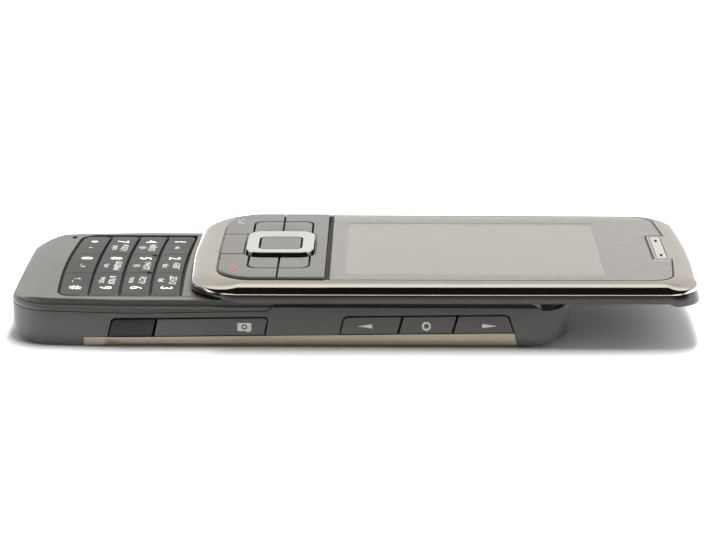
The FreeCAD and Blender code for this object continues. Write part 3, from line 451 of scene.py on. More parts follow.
def plate(name: str, corners: Corners, height: float, segments: int = 8) -> Piece:
    """Flat plate with rounded corners.

    Args:
        name: The plate's name.
        corners: x, y and rounding radius of each corner, in order round the plate.
        height: Where it lies along Z.
        segments: Steps in each rounding.

    Returns:
        The plate.
    """
    free()
    bpy.ops.mesh.primitive_circle_add(vertices=len(corners), radius=10 * MM, fill_type="NGON")
    piece = added(name)
    for vertex, (x, y, _) in zip(piece.data.vertices, corners):
        vertex.co = Vector((x, y, height)) * MM
    edit(piece)
    for i, (x, y, radius) in enumerate(corners):
        here = Vector((x, y))
        before = Vector(corners[i - 1][:2]) - here
        after = Vector(corners[(i + 1) % len(corners)][:2]) - here
        half = before.angle(after) / 2
        if radius <= 0 or half > math.radians(89.9):
            continue
        spot = Vector((x, y, height)) * MM
        select(piece, Pick.VERTICES, lambda v, spot=spot: (v.co - spot).length < 1e-7)
        bpy.ops.mesh.bevel(offset=radius / math.tan(half) * MM, affect="VERTICES", segments=segments,
                           profile=0.5, clamp_overlap=False)
    free()
    return piece


def loft(name: str, levels: Sequence[Level], segments: int = 8) -> Piece:
    """Closed form through outlines of the same corners, raised step by step.

    Args:
        name: The piece's name.
        levels: Each outline's corners and its height.
        segments: Steps in each rounding.

    Returns:
        The piece.
    """
    goals = []
    for corners, height in levels[1:]:
        guide = plate("guide", corners, height, segments)
        goals.append([v.co.copy() for v in guide.data.vertices])
        bpy.data.objects.remove(guide)
    piece = plate(name, levels[0][0], levels[0][1], segments)
    places = [v.co.copy() for v in piece.data.vertices]
    edit(piece)
    bpy.ops.mesh.select_mode(type="FACE")
    for goal in goals:
        numbers = {(round(p.x, 7), round(p.y, 7)): i for i, p in enumerate(places)}
        bpy.ops.mesh.extrude_region_move(TRANSFORM_OT_translate={"value": (0, 0, 0.01 * MM)})
        mesh = bmesh.from_edit_mesh(piece.data)
        for vertex in mesh.verts:
            if vertex.select:
                vertex.co = goal[numbers[(round(vertex.co.x, 7), round(vertex.co.y, 7))]]
        bmesh.update_edit_mesh(piece.data)
        places = goal
    close(piece)
    return piece


def prism(name: str, corners: Corners, low: float, high: float, segments: int = 8) -> Piece:
    """Closed block with a rounded outline, from height low to high."""
    return loft(name, [(corners, low), (corners, high)], segments)


def cut(piece: Piece, *tools: Piece) -> None:
    """Take the tools' space out of a piece, and throw the tools away.

    Args:
        piece: The piece.
        tools: What is cut out of it.
    """
    for tool in tools:
        modify(piece, "BOOLEAN", operation="DIFFERENCE", solver="EXACT", object=tool)
        bpy.data.objects.remove(tool)


def round_edges(piece: Piece, width: float, segments: int, height: float, angle: float = -1.0) -> None:
    """Round the edges that lie above a height.

    Args:
        piece: The piece.
        width: Width of the rounding.
        segments: Its steps.
        height: The height along Z.
        angle: The least turn between an edge's faces in radians, or -1 for any.
    """
    edit(piece)
    select(piece, Pick.EDGES, lambda edge: min(v.co.z for v in edge.verts) > height * MM
           and edge.calc_face_angle(0) > angle)
    bpy.ops.mesh.bevel(offset=width * MM, segments=segments, profile=0.5, clamp_overlap=True)
    free()


def refined(node: str, width: float, segments: int = 2) -> Piece:
    """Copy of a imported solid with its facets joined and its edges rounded.

    Args:
        node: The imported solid's name.
        width: Width of the rounding.
        segments: Its steps.

    Returns:
        The copy.
    """
    free()
    source = frame["nodes"][node]
    piece = source.copy()
    piece.data = source.data.copy()
    piece.name = node + "_skin"
    piece.data.name = piece.name
    piece.parent = None
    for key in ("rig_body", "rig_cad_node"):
        del piece[key]
    bpy.context.scene.collection.objects.link(piece)
    edit(piece)
    bpy.ops.mesh.remove_doubles(threshold=0.002 * MM)
    bpy.ops.mesh.customdata_custom_splitnormals_clear()
    bpy.ops.mesh.dissolve_limited(angle_limit=math.radians(0.5))
    free()
    modify(piece, "BEVEL", width=width * MM, segments=segments, limit_method="ANGLE",
           angle_limit=math.radians(ROUNDED_FROM), use_clamp_overlap=True, miter_outer="MITER_ARC")
    smooth(piece, 32)
    return piece


def join(name: str, pieces: Sequence[Piece]) -> Piece:
    """Join several meshes into one.

    Args:
        name: Its name.
        pieces: The meshes.

    Returns:
        The joined piece.
    """
    free()
    for piece in pieces:
        piece.select_set(True)
    bpy.context.view_layer.objects.active = pieces[0]
    if len(pieces) > 1:
        bpy.ops.object.join()
    return added(name)


class Assembly:
    """A group of pieces that is built, dressed and reported together."""

    def fit(self, piece: Piece, finish: Finish, body: str, slot: str, *replaced: str) -> None:
        """Dress a piece and hang it on its body.

        Args:
            piece: The finished mesh.
            finish: Its surface.
            body: The CAD body that it moves with.
            slot: The record's material slot; not used.
            replaced: The CAD nodes that it stands for.
        """
        piece.data.materials.clear()
        piece.data.materials.append(finish.material())
        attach(piece, body)
        if replaced:
            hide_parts(*replaced)
        log.info("%s: %d faces on %s, %s", piece.name, len(piece.data.polygons), body, finish.name)

    @staticmethod
    def refinish(piece: Piece, finish: Finish, test: Callable) -> None:
        """Give some faces another finish than the rest of their piece.

        Args:
            piece: The piece, with its first finish on.
            finish: The other finish.
            test: Takes a face and says whether it gets that.
        """
        piece.data.materials.append(finish.material())
        for face in piece.data.polygons:
            if test(face):
                face.material_index = 1

    def paint(self, node: str, finish: Finish) -> None:
        """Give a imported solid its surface.

        Args:
            node: The solid's name.
            finish: Its surface.
        """
        mesh = frame["nodes"][node].data
        mesh.materials.clear()
        mesh.materials.append(finish.material())
        log.info("%s: packed solid, %s", node, finish.name)


def mirrored(right: Corners, start: Corners = (), end: Corners = ()) -> list[Corner]:
    """Full outline from its right-hand corners and those on its axis at start and end."""
    return [*start, *right, *end, *[(-x, y, r) for x, y, r in reversed(right)]]


def blend(first: Corners, second: Corners, share: float) -> list[Corner]:
    """Outline part of the way from one to another with the same corners."""
    return [tuple(a + (b - a) * share for a, b in zip(p, q)) for p, q in zip(first, second)]


def crown(outer: Corners, inner: Corners, low: float, high: float, steps: int) -> list[Level]:
    """Levels that round an upright wall over to a smaller outline on top."""
    angles = [math.pi / 2 * i / steps for i in range(1, steps + 1)]
    return [(blend(outer, inner, 1 - math.cos(a)), low + (high - low) * math.sin(a)) for a in angles]


def box(x0: float, x1: float, y0: float, y1: float, radius: float) -> list[Corner]:
    """Corners of a rounded rectangle."""
    return [(x0, y0, radius), (x1, y0, radius), (x1, y1, radius), (x0, y1, radius)]


# ---- upper half


@dataclass
class UpperFrame(Assembly):
    """The plated rim round the keys and the window, and the dark shell under it."""
    half: float = 24.75
    taper: float = 0.55  # the sides bow in towards the earpiece
    start: float = -20.4
    end: float = 79.8
    split: float = 10.55
    wall_top: float = 10.9
    top: float = 13.35
    steps: int = 14
    edge: float = 0.12
    # share of the way in to the rim, and height over the split, of the rounding at the split
    under: tuple[Span, ...] = ((0.16, 0.0), (0.05, 0.05), (0.0, 0.16))
    # left, right, lower and upper side, corner radius, floor and top of what is cut out
    wells: tuple[tuple[float, ...], ...] = (
        (-23.45, 23.45, 6.65, 7.35, 0.1, 12.45, 20),  # groove between the keys and the window
        (-22.4, 22.4, 8.3, 70.2, 1.5, 5, 20),  # display
        (-14, 14, 69.9, 74.6, 1.0, 5, 11.95),  # earpiece and front camera
        (-6.3, 6.3, 6.0, 9.0, 0.2, 5, 10.9),  # ribbon from the keys' board
        (-7.7, 7.7, 71.9, 74.1, 0.8, 5, 20))  # grille

    def plan(self) -> list[Corner]:
        """Outer outline."""
        return mirrored([(self.half, self.start + 1.1, 9.2), (self.half, 25, 4000),
                         (self.half - self.taper, self.end - 1.2, 6)], [(0, self.start, 120)],
                        [(0, self.end, 200)])

    def rim(self) -> list[Corner]:
        """Outline of the flat top."""
        return mirrored([(24.05, -14.9, 7), (24.05, 25, 4000), (23.65, 74.2, 5)], [(0, -15.2, 160)],
                        [(0, 75.9, 160)])

    @staticmethod
    def field(gap: float) -> list[Corner]:
        """Outline of the key field."""
        side, end = 23.45 - gap, 6.75 - gap
        return mirrored([(side, -14.25 + gap, 7.2), (side, end, 0.3)], [(0, -14.6 + gap, 300)],
                        [(0, end, 0)])

    @staticmethod
    def window(gap: float) -> list[Corner]:
        """Outline that runs outside the window by a gap, with the notch for the earpiece."""
        half, notch, end = 23.75 + gap, 8.4 - gap, 74.9 + gap
        return mirrored([(half, 7.35 - gap, 0.3), (half, 25, 4000), (half - 0.4, end - 1.3, 4.2),
                         (notch, end, 0.3), (notch, 71.3 + gap, 0.5)])

    def build(self) -> None:
        """Model and dress the rim and the shell."""
        plan, rim = self.plan(), self.rim()
        levels = [(blend(plan, rim, share), self.split + rise) for share, rise in self.under]
        levels += [(plan, self.wall_top), *crown(plan, rim, self.wall_top, self.top, self.steps)]
        piece = loft("frame_rim", levels, 12)
        groove, *wells = [prism("tool", box(*sides), low, high) for *sides, low, high in self.wells]
        cut(piece, prism("tool", self.field(0), 5, 20),
            loft("tool", [(self.field(0), 13.07), (self.field(-0.4), self.top + 0.01)]),
            groove, prism("tool", self.window(0.08), 12.5, 20), *wells)
        round_edges(piece, self.edge, 2, self.top - 0.01, 1.2)
        smooth(piece)
        self.fit(piece, WARM_CHROME, "slide", "chrome_trim", "upper_frame")
        shell = refined("slide_back_cover", 0.1)
        self.fit(shell, SHELL_PAINT, "slide", "shell_plastic", "slide_back_cover")


@dataclass
class Screen(Assembly):
    """Window, the print on its back, and the display under it."""
    low: float = 12.55
    high: float = 13.35
    edge: float = 0.08
    seal: float = 0.2  # width of the dark seal round the glass
    opening_x: Span = (-18.75, 18.75)
    opening_y: Span = (10.4, 61.1)

    def build(self) -> None:
        """Model and dress the window, its print and the display."""
        glass = prism("window_glass", UpperFrame.window(-self.seal), self.low, self.high)
        round_edges(glass, self.edge, 3, self.high - 0.01)
        self.fit(glass, CLEAR_ACRYLIC, "slide", "window_glass", "display_window")
        ink = prism("window_print", UpperFrame.window(-0.22), self.low - 0.04, self.low - 0.01)
        cut(ink, prism("tool", box(*self.opening_x, *self.opening_y, 0.3), 12, 13))
        self.fit(ink, SILVER_INK, "slide", "window_glass")
        seal = prism("seal", UpperFrame.window(0.06), self.low, self.high - 0.02)
        cut(seal, prism("tool", UpperFrame.window(0.02 - self.seal), 12, 14))
        # painted shade: a black strip lies in the groove between the keys and the window, dark in place of
        # its shade
        groove = prism("groove", box(-23.3, 23.3, 6.8, 7.25, 0.05), 12.46, 12.9)
        self.fit(join("window_seal_and_groove_shade", [seal, groove]), BLACK_SILICONE_AND_PAINTED_SHADE, "slide", "black_silicone")
        self.paint("display_module", DISPLAY_FILM)


@dataclass
class Earpiece(Assembly):
    """Bright grille in the window's notch."""
    edge: float = 0.1

    def build(self) -> None:
        """Dress the grille and what is behind it."""
        self.fit(refined("earpiece_grille", self.edge), BRIGHT_CHROME, "slide", "grille_metal",
                 "earpiece_grille")
        self.paint("earpiece_speaker", BLACK_PLASTIC)
        self.paint("front_camera", BLACK_PLASTIC)


@dataclass
class UpperKeys(Assembly):
    """Keys of the upper half: call, end, clear, selection and shortcut keys, ring and select key."""
    edge: float = 0.12
    select_edge: float = 0.05
    ring_y: float = -2.7
    ring_half: Span = (7.7, 6.75)
    ring_hole: Span = (4.8, 4.35)
    ring_low: float = 12.65
    ring_top: float = 14.42
    ring_radii: Span = (3.0, 2.6)  # of its corners, outside and where the top starts
    ring_round: float = 0.45  # rounding of its outer edge
    ring_steps: int = 6
    hole_radius: float = 1.5
    hole_top: float = 14.12
    hole_round: float = 0.16
    dish_half: Span = (7.3, 6.35)
    # painted shade: the ring's outer wall outside this is painted black
    shade_wall_half: Span = (7.2, 6.3)  # its outer wall stands outside this
    cap_top: float = 13.8
    mark_x: float = 16.6
    mark_y: float = -11.4

    def ring_outline(self, half: Sequence[float], radius: float) -> list[Corner]:
        """Rounded rectangle round the middle of the ring."""
        return box(-half[0], half[0], self.ring_y - half[1], self.ring_y + half[1], radius)

    def ring(self) -> Piece:
        """The navigation ring, with a rounded top that slopes down to its hole.

        Returns:
            The ring.
        """
        outer = self.ring_outline(self.ring_half, self.ring_radii[0])
        shrunk = self.ring_outline([half - self.ring_round for half in self.ring_half], self.ring_radii[1])
        shoulder = self.ring_top - self.ring_round
        piece = loft("navigation_ring", [(outer, self.ring_low), (outer, shoulder), *crown(
            outer, shrunk, shoulder, self.ring_top, self.ring_steps)])
        hole = self.ring_outline(self.ring_hole, self.hole_radius)
        dish = self.ring_outline(self.dish_half, self.ring_radii[1])
        cut(piece, prism("tool", hole, 10, 20),
            loft("tool", [(hole, self.hole_top), (dish, self.ring_top + 0.01)]))
        round_edges(piece, self.hole_round, 3, self.hole_top - 0.01, 1.0)
        smooth(piece)
        return piece

    def is_shade_wall(self, face: bpy.types.MeshPolygon) -> bool:
        """Whether a face of the ring is on its upright outer wall, which gets painted shade."""
        x, y = abs(face.center.x), abs(face.center.y - self.ring_y * MM)
        return face.normal.z < 0.5 and (x > self.shade_wall_half[0] * MM or y > self.shade_wall_half[1] * MM)

    def handset(self, name: str, x: float, y: float, way: int) -> Piece:
        """Printed handset mark.

        Args:
            name: The mark's name.
            x: Its middle along X.
            y: Its middle along Y.
            way: 1 where its ends point to the earpiece, and -1 where they point to the chin.

        Returns:
            The mark.
        """
        low, high = self.cap_top + 0.005, self.cap_top + 0.02
        bar = prism(name, box(x - 1.5, x + 1.5, y - 0.5 * way - 0.25, y - 0.5 * way + 0.25, 0.2),
                    low, high, 4)
        ends = [prism("end", box(x + s * 1.4 - 0.45, x + s * 1.4 + 0.45, y - 0.5, y + 0.5, 0.25),
                      low, high, 4) for s in (-1, 1)]
        return join(name, [bar, *ends])

    def build(self) -> None:
        """Model and dress every key."""
        for node in ("call_key", "end_key", "clear_key", "soft_key_rocker", "shortcut_lower_left",
                     "shortcut_upper_left", "shortcut_lower_right", "shortcut_upper_right"):
            self.fit(refined(node, self.edge), GLOSS_KEY, node, "upper_key_plastic", node)
        ring = self.ring()
        self.fit(ring, BRIGHT_CHROME, "navi_ring", "chrome_trim", "navi_ring")
        # painted shade: the ring's outer wall is glossy black in place of chrome, dark like the gap round it
        self.refinish(ring, PAINTED_SHADE_GLOSS, self.is_shade_wall)
        self.fit(refined("select_key", self.select_edge), GLOSS_KEY, "select_key", "upper_key_plastic",
                 "select_key")
        self.fit(self.handset("end_mark", self.mark_x, self.mark_y, -1), RED_INK, "end_key",
                 "upper_key_plastic")
        self.fit(self.handset("call_mark", -self.mark_x, self.mark_y, 1), GREEN_INK, "call_key",
                 "upper_key_plastic")
        self.paint("navi_plate", BLACK_PLASTIC)
        self.paint("upper_key_mat", BLACK_SILICONE_AND_PAINTED_SHADE)


# ---- lower half


@dataclass
class Casing(Assembly):
    """Painted housing, front cover, steel battery cover and the camera window."""
    edge: float = 0.1
    cover_edge: float = 0.12

    def build(self) -> None:
        """Dress the casings."""
        self.fit(refined("front_cover", self.cover_edge, 3), COVER_PAINT, "base", "cover_plastic",
                 "front_cover")
        self.fit(refined("lower_housing", self.edge), HOUSING_PAINT, "base", "housing_plastic",
                 "lower_housing")
        self.fit(refined("battery_cover", self.edge), CHAMPAGNE_STEEL, "battery_cover",
                 "battery_cover_metal", "battery_cover")
        self.paint("camera_window", LENS_GLASS)
        self.paint("cover_release_button", BLACK_PLASTIC)


@dataclass
class NumberPad(Assembly):
    """Twelve pillowed number keys and their printed legends."""
    top: float = 9.7
    pillow: float = 16.0  # radius of a row along the phone
    bend: float = 700.0  # and across it
    start: float = -45.35
    pitch: float = 5.95
    gap: float = 0.62
    lift: float = 0.012
    ink: float = 0.012
    digit: float = 3.3  # type size of the digits
    digit_up: float = 0.45  # above the middle of its row
    digit_weight: float = 0.05
    digit_wide: float = 1.12
    letter: float = 1.9  # type size of the letters
    small_up: float = -0.95
    small_weight: float = 0.02
    second: float = 1.748  # type size of the second line
    second_up: Span = (0.2, 1.2)  # where it stands alone, and over small letters
    second_weight: float = 0.03
    mark_x: Span = (-6.15, 6.15)
    mark_y: float = -28.75
    mark_top: float = 9.74
    digit_x: Triple = (-16.4, -3.4, 16.5)
    letter_x: Triple = (-11.6, 1.9, 11.6)
    edge: float = 0.1
    # each key's short name, digit, small letters and second line, row by row from the chin
    rows: tuple[tuple[tuple[str, ...], ...], ...] = (
        (("star", "*", "", "+"), ("0", "0", "", "_ o"), ("hash", "#", "", "↑ _")),
        (("7", "7", "pqrs", "ФХЦЧ"), ("8", "8", "tuv", "ШЩЪЫ"), ("9", "9", "wxyz", "ЬЭЮЯ")),
        (("4", "4", "ghi", "ИЙКЛ"), ("5", "5", "jkl", "МНОП"), ("6", "6", "mno", "РСТУ")),
        (("1", "1", "", "oo"), ("2", "2", "abc", "АБВГ"), ("3", "3", "def", "ДЕЖЗ")))

    def middle(self, row: int) -> float:
        """Middle of a row along Y."""
        return self.start + self.pitch * (row + 0.5) - self.gap / 2

    def surface(self, row: int, x: float, y: float) -> float:
        """Height of a row's pillowed tops.

        Args:
            row: The row.
            x: Place along X.
            y: Place along Y.

        Returns:
            The height there.
        """
        away = y - self.middle(row) - 0.1
        reach = self.bend - self.pillow + math.sqrt(self.pillow ** 2 - away ** 2)
        return self.top - self.bend + math.sqrt(reach ** 2 - x ** 2)

    def word(self, text: str, size: float, x: float, y: float, row: int, weight: float,
             wide: float = 1.0) -> Piece:
        """One printed word that lies on a key's curved top.

        Args:
            text: The characters.
            size: Type size.
            x: The word's middle along X.
            y: The word's middle along Y.
            row: The row of the key that it lies on.
            weight: How much its strokes are thickened.
            wide: How much wider than usual it is set.

        Returns:
            The word as a mesh.
        """
        free()
        bpy.ops.object.text_add(location=(0, 0, 0))
        word = bpy.context.object
        word.data.body = text
        word.data.size = size * MM
        word.data.align_x = "CENTER"
        word.data.offset = weight * MM
        word.data.resolution_u = 4
        word.data.extrude = self.ink / 2 * MM
        bpy.ops.object.convert(target="MESH")
        word = bpy.context.object
        edit(word)
        bpy.ops.mesh.quads_convert_to_tris()
        bpy.ops.mesh.subdivide(number_cuts=2)
        free()
        ys = [v.co.y for v in word.data.vertices]
        middle = (min(ys) + max(ys)) / 2
        for vertex in word.data.vertices:
            side = vertex.co.z > 0
            px, py = vertex.co.x * wide + x * MM, vertex.co.y - middle + y * MM
            height = self.surface(row, px / MM, py / MM) + self.lift + (self.ink if side else 0)
            vertex.co = (px, py, height * MM)
        return word

    def build(self) -> None:
        """Model and dress the keys and their legends."""
        for row, keys in enumerate(self.rows):
            middle = self.middle(row)
            for column, (short, big, small, over) in enumerate(keys):
                node = "key_" + short
                cap = refined(node, self.edge)
                self.fit(cap, NUMBER_KEY_PAINT, node, "number_key_plastic", node)
                # painted shade: the upright walls are black, dark in place of the shade in the deep gaps
                # between keys
                self.refinish(cap, BLACK_SILICONE_AND_PAINTED_SHADE, lambda face: face.normal.z < 0.3)
                digit = self.word(big, self.digit, self.digit_x[column], middle + self.digit_up, row,
                                  self.digit_weight, self.digit_wide)
                self.fit(join("digit_" + short, [digit]), WHITE_INK, node, "number_key_plastic")
                x = self.letter_x[column]
                words = [self.word(over, self.second, x, middle + self.second_up[bool(small)], row,
                                   self.second_weight)]
                if small:
                    words.append(self.word(small, self.letter, x, middle + self.small_up, row,
                                           self.small_weight))
                self.fit(join("letters_" + short, words), GREY_INK, node, "number_key_plastic")
        self.paint("keypad_mat", BLACK_SILICONE_AND_PAINTED_SHADE)
        self.find_marks()

    def find_marks(self) -> None:
        """Two small bars that a finger finds, beside the digit five."""
        marks = []
        y = self.mark_y
        for x in self.mark_x:
            marks.append(prism("bar", box(x - 0.4, x + 0.4, y - 0.55, y + 0.55, 0.3), 9.4,
                               self.mark_top, 4))
        piece = join("find_marks", marks)
        round_edges(piece, 0.12, 2, self.mark_top - 0.01)
        smooth(piece)
        # painted shade: the bars are black, dark in place of the shade at the small bumps beside the five
        self.fit(piece, BLACK_SILICONE_AND_PAINTED_SHADE, "key_5", "number_key_plastic")


@dataclass
class SideKeys(Assembly):
    """Infrared window, camera, volume and voice keys, their printed signs, and the power key."""
    face: float = 24.75
    ink: float = 0.012

    def stand(self, sign: Piece, y: float, z: float) -> None:
        """Stand a sign that was drawn flat up against the keys' faces.

        Args:
            sign: The sign, drawn round the origin with its top along +Y.
            y: Its middle along the phone.
            z: Its middle height.
        """
        for vertex in sign.data.vertices:
            across, up, out = vertex.co
            vertex.co = (self.face * MM + out, y * MM + across, z * MM + up)
        close(sign)

    def arrow(self, name: str, way: int) -> Piece:
        """Slim triangle along the phone.

        Args:
            name: The sign's name.
            way: 1 to point to the earpiece end, and -1 to the chin.

        Returns:
            The sign.
        """
        corners = [(-1.4 * way, -0.42, 0.05), (1.4 * way, -0.02, 0.02), (1.4 * way, 0.02, 0.02),
                   (-1.4 * way, 0.42, 0.05)]
        return prism(name, corners[::way], -0.02, self.ink, 3)

    def disc(self, name: str, radius: float, hole: float) -> Piece:
        """Printed ring, or a disc where the hole is 0.

        Args:
            name: The sign's name.
            radius: Its outer radius.
            hole: Its inner radius.

        Returns:
            The sign.
        """
        free()
        bpy.ops.mesh.primitive_circle_add(vertices=40, radius=radius * MM, fill_type="NGON")
        piece = added(name)
        edit(piece)
        if hole:
            bpy.ops.mesh.inset(thickness=(radius - hole) * MM)
            bpy.ops.mesh.delete(type="FACE")
            bpy.ops.mesh.select_all(action="SELECT")
        bpy.ops.mesh.extrude_region_move(TRANSFORM_OT_translate={"value": (0, 0, self.ink * MM)})
        free()
        return piece

    def camera_sign(self) -> Piece:
        """Small camera: a rounded body with a bump on top and a round lens left open.

        Returns:
            The sign.
        """
        body = prism("camera_sign", box(-1.35, 1.35, -0.85, 0.8, 0.22), -0.02, self.ink, 4)
        bump = prism("bump", box(0.35, 1.05, -1.05, -0.75, 0.08), -0.02, self.ink, 3)
        free()
        bpy.ops.mesh.primitive_cylinder_add(vertices=32, radius=0.55 * MM, depth=MM)
        cut(body, added("tool"))
        return join("camera_sign", [body, bump])

    def build(self) -> None:
        """Model and dress the keys and their signs."""
        self.fit(refined("infrared_window", 0.06), SMOKED_PLASTIC, "base", "infrared_plastic",
                 "infrared_window")
        for node in ("camera_key", "volume_down_key", "voice_key", "volume_up_key", "power_key"):
            self.fit(refined(node, 0.05), SIDE_KEY_PAINT, node, "side_key_plastic", node)
        for node, sign, y, z in (("camera_key", self.camera_sign(), -8.8, 4.2),
                                 ("camera_key", self.disc("camera_lens_sign", 0.28, 0), -8.8, 4.22),
                                 ("volume_down_key", self.arrow("volume_down_sign", -1), 14.4, 4.4),
                                 ("voice_key", self.disc("voice_sign", 0.88, 0.5), 26.2, 4.45),
                                 ("volume_up_key", self.arrow("volume_up_sign", 1), 38.3, 4.55)):
            self.stand(sign, y, z)
            self.fit(sign, WHITE_INK, node, "side_key_plastic")


@dataclass
class Inside(Assembly):
    """What the casings hold: slide, boards, battery, sockets and the rest."""
    finishes: tuple[tuple[Finish, tuple[str, ...]], ...] = (
        (STEEL_SHEET, ("slide_rails", "slide_spring", "slider_plate", "board_shields", "sim_holder",
                       "housing_screws")),
        (SOLDER_MASK, ("main_board", "slide_board")),
        (POLYIMIDE, ("slide_flex",)),
        (BLACK_PLASTIC, ("edge_switches", "camera_module", "loudspeaker", "charger_jack", "headset_jack",
                         "antenna")),
        (NICKEL, ("vibration_motor",)),
        (BATTERY_SLEEVE, ("battery",)))

    def build(self) -> None:
        """Dress the solids inside."""
        for finish, nodes in self.finishes:
            for node in nodes:
                self.paint(node, finish)


# ---- studio


@dataclass
class Studio:
    """White table, soft light and the camera."""
    camera_place: Triple = (464.3, 18.0, 145.4)
    camera_turn: float = 0.682  # degrees from the phone's right-hand side
    camera_tilt: float = 16.56  # degrees down
    focal_pixels: float = 2402.0
    frame_pixels: float = 713.0  # width of the picture
    sensor: float = 36.0
    table_x: Span = (-900.0, 150.0)
    table_side: float = 900.0
    lit_edge: Span = (38.0, 47.0)  # where the table turns dark for the phone, along X
    table_lift: float = 0.02  # light added to the table for the camera alone
    lamp_watts: float = 14.5
    lamp_size: Span = (150.0, 900.0)
    lamp_place: Triple = (-360.0, 100.0, 710.0)
    lamp_aim: Triple = (0.0, 15.0, 0.0)
    # strength of the soft light by the direction's X, Z and Y: where it changes, and from and to what
    soft_light: tuple[tuple[str, Span, Span], ...] = (
        ("X", (-0.6, 0.05), (1.16, 0.16)),  # more from the far side than from the camera's side
        ("Z", (0.0, 0.6), (0.6, 1.1)),  # more from above
        ("Y", (0.3, 0.9), (1.0, 3.2)))  # most from beyond the earpiece end
    mirrored_back: Colour = (0.88, 0.865, 0.84, 1)  # the room that mirrors see on the far side
    mirrored_front: Colour = (1.5, 1.46, 1.4, 1)  # and on the camera's side, at full brightness
    mirrored_change: Span = (-0.05, 0.35)  # where along X the one turns into the other
    # share of full brightness by the sine of the height above the horizon, on the camera's side
    mirrored_ramp: tuple[Span, ...] = ((-1.0, 0.1), (-0.12, 0.01), (-0.02, 0.0), (0.025, 0.02),
                                       (0.055, 1.0), (0.22, 0.95), (0.4, 0.66), (0.62, 0.5))

    def camera(self) -> None:
        """Set up the camera."""
        tilt, turn = math.radians(self.camera_tilt), math.radians(self.camera_turn)
        back = Vector((math.cos(tilt) * math.cos(turn), math.cos(tilt) * math.sin(turn), math.sin(tilt)))
        data = bpy.data.cameras.new("camera")
        data.sensor_width = self.sensor
        data.lens = self.focal_pixels / self.frame_pixels * self.sensor
        camera = bpy.data.objects.new("camera", data)
        bpy.context.scene.collection.objects.link(camera)
        camera.location = Vector(self.camera_place) * MM
        camera.rotation_euler = back.to_track_quat("Z", "Y").to_euler()
        bpy.context.scene.camera = camera

    def floor(self) -> None:
        """Pale matt table: white for the camera, but the phone sees it dark in front of its lit part."""
        free()
        back, front = self.table_x
        bpy.ops.mesh.primitive_plane_add(size=2 * MM, location=((back + front) / 2 * MM, 0, 0))
        table = added("table")
        table.scale = ((front - back) / 2, self.table_side, 1)
        bpy.ops.object.transform_apply(location=True, rotation=True, scale=True)
        paper = bpy.data.materials.new("table_paper")
        tree = empty_tree(paper)
        place = add_node(tree, "TexCoord").outputs["Object"]
        fibre = add_node(tree, "TexNoise", {"Scale": 900.0, "Detail": 3.0, "Vector": place}).outputs["Fac"]
        tone = between(tree, fibre, linear("#f6f6f5"), linear("#f9f9f8"))
        matt = add_node(tree, "BsdfDiffuse", {"Color": tone}).outputs[0]
        seen = add_node(tree, "LightPath").outputs["Is Camera Ray"]
        lift = reckon(tree, "MULTIPLY", seen, self.table_lift)
        glow = add_node(tree, "Emission", {"Color": (1, 1, 1, 1), "Strength": lift}).outputs[0]
        lit = add_node(tree, "AddShader", {0: matt, 1: glow}).outputs[0]
        away = graded(tree, add_node(tree, "SeparateXYZ", {"Vector": place}).outputs["X"],
                      tuple(x * MM for x in self.lit_edge))
        share = reckon(tree, "MULTIPLY", away, reckon(tree, "SUBTRACT", 1.0, seen))
        dark = add_node(tree, "BsdfDiffuse", {"Color": linear("#101010")}).outputs[0]
        surface = add_node(tree, "MixShader", {0: share, 1: lit, 2: dark}).outputs[0]
        add_node(tree, "OutputMaterial", {"Surface": surface})
        table.data.materials.append(paper)

    def mirrored_room(self, tree: Tree, axes: bpy.types.NodeOutputs) -> Socket:
        """The room that mirrors see: pale on the far side, with a dark gap low on the camera's side.

        Args:
            tree: The world's tree.
            axes: X, Y and Z of the view's direction.

        Returns:
            The room's colour.
        """
        front = add_node(tree, "ValToRGB", {"Fac": graded(tree, axes["Z"], (-1.0, 1.0))})
        elements = front.color_ramp.elements
        while len(elements) < len(self.mirrored_ramp):
            elements.new(0.5)
        for element, (sine, share) in zip(elements, self.mirrored_ramp):
            element.position = (sine + 1) / 2
            element.color = (share, share, share, 1)
        bright = add_node(tree, "Mix", {"data_type": "RGBA", "blend_type": "MULTIPLY", 0: 1.0,
                                        6: front.outputs["Color"], 7: self.mirrored_front}).outputs[2]
        return between(tree, graded(tree, axes["X"], self.mirrored_change), self.mirrored_back, bright)

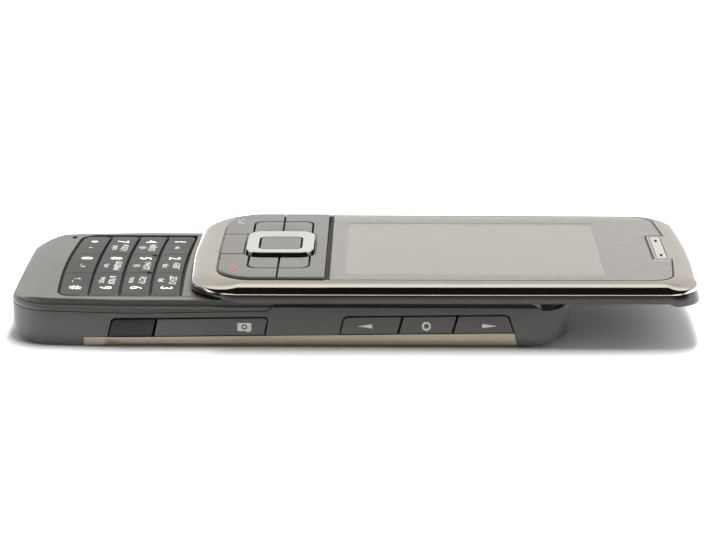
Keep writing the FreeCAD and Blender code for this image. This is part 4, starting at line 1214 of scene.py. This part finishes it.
    def world(self) -> None:
        """Soft light from the room, strongest from behind, with a white background for the camera."""
        world = bpy.data.worlds.new("room")
        bpy.context.scene.world = world
        tree = empty_tree(world)
        way = add_node(tree, "TexCoord").outputs["Generated"]
        axes = add_node(tree, "SeparateXYZ", {"Vector": way}).outputs
        mirror = add_node(tree, "Background", {"Strength": 1.0, "Color": self.mirrored_room(tree, axes)})
        side, above, end = (graded(tree, axes[axis], *change) for axis, *change in self.soft_light)
        strength = reckon(tree, "MULTIPLY", reckon(tree, "MULTIPLY", side, above), end)
        soft = add_node(tree, "Background", {"Color": (1, 1, 1, 1), "Strength": strength})
        white = add_node(tree, "Background", {"Color": (1, 1, 1, 1), "Strength": 1.0})
        path = add_node(tree, "LightPath").outputs
        seen = soft.outputs[0]
        for ray, other in (("Is Glossy Ray", mirror), ("Is Camera Ray", white)):
            seen = add_node(tree, "MixShader", {0: path[ray], 1: seen, 2: other.outputs[0]}).outputs[0]
        add_node(tree, "OutputWorld", {"Surface": seen})

    def lamp(self) -> None:
        """Long strip light above the phone's far side, which only matt surfaces see."""
        data = bpy.data.lights.new("strip_light", "AREA")
        data.shape = "RECTANGLE"
        data.size, data.size_y = (size * MM for size in self.lamp_size)
        data.energy = self.lamp_watts
        lamp = bpy.data.objects.new("strip_light", data)
        bpy.context.scene.collection.objects.link(lamp)
        lamp.location = Vector(self.lamp_place) * MM
        away = lamp.location - Vector(self.lamp_aim) * MM
        lamp.rotation_euler = away.to_track_quat("Z", "Y").to_euler()
        lamp.visible_glossy = False
        lamp.visible_transmission = False

    def build(self) -> None:
        """Set up the whole studio."""
        bpy.context.scene.view_settings.view_transform = "Standard"
        self.camera()
        self.floor()
        self.world()
        self.lamp()
        log.info("studio ready")


def main() -> None:
    """Build the phone and its studio."""
    logging.basicConfig(level=logging.INFO, format="%(message)s")
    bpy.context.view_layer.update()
    for assembly in (Casing(), NumberPad(), SideKeys(), UpperFrame(), Screen(), Earpiece(), UpperKeys(),
                     Inside(), Studio()):
        assembly.build()


if __name__ == "__main__":
    main()
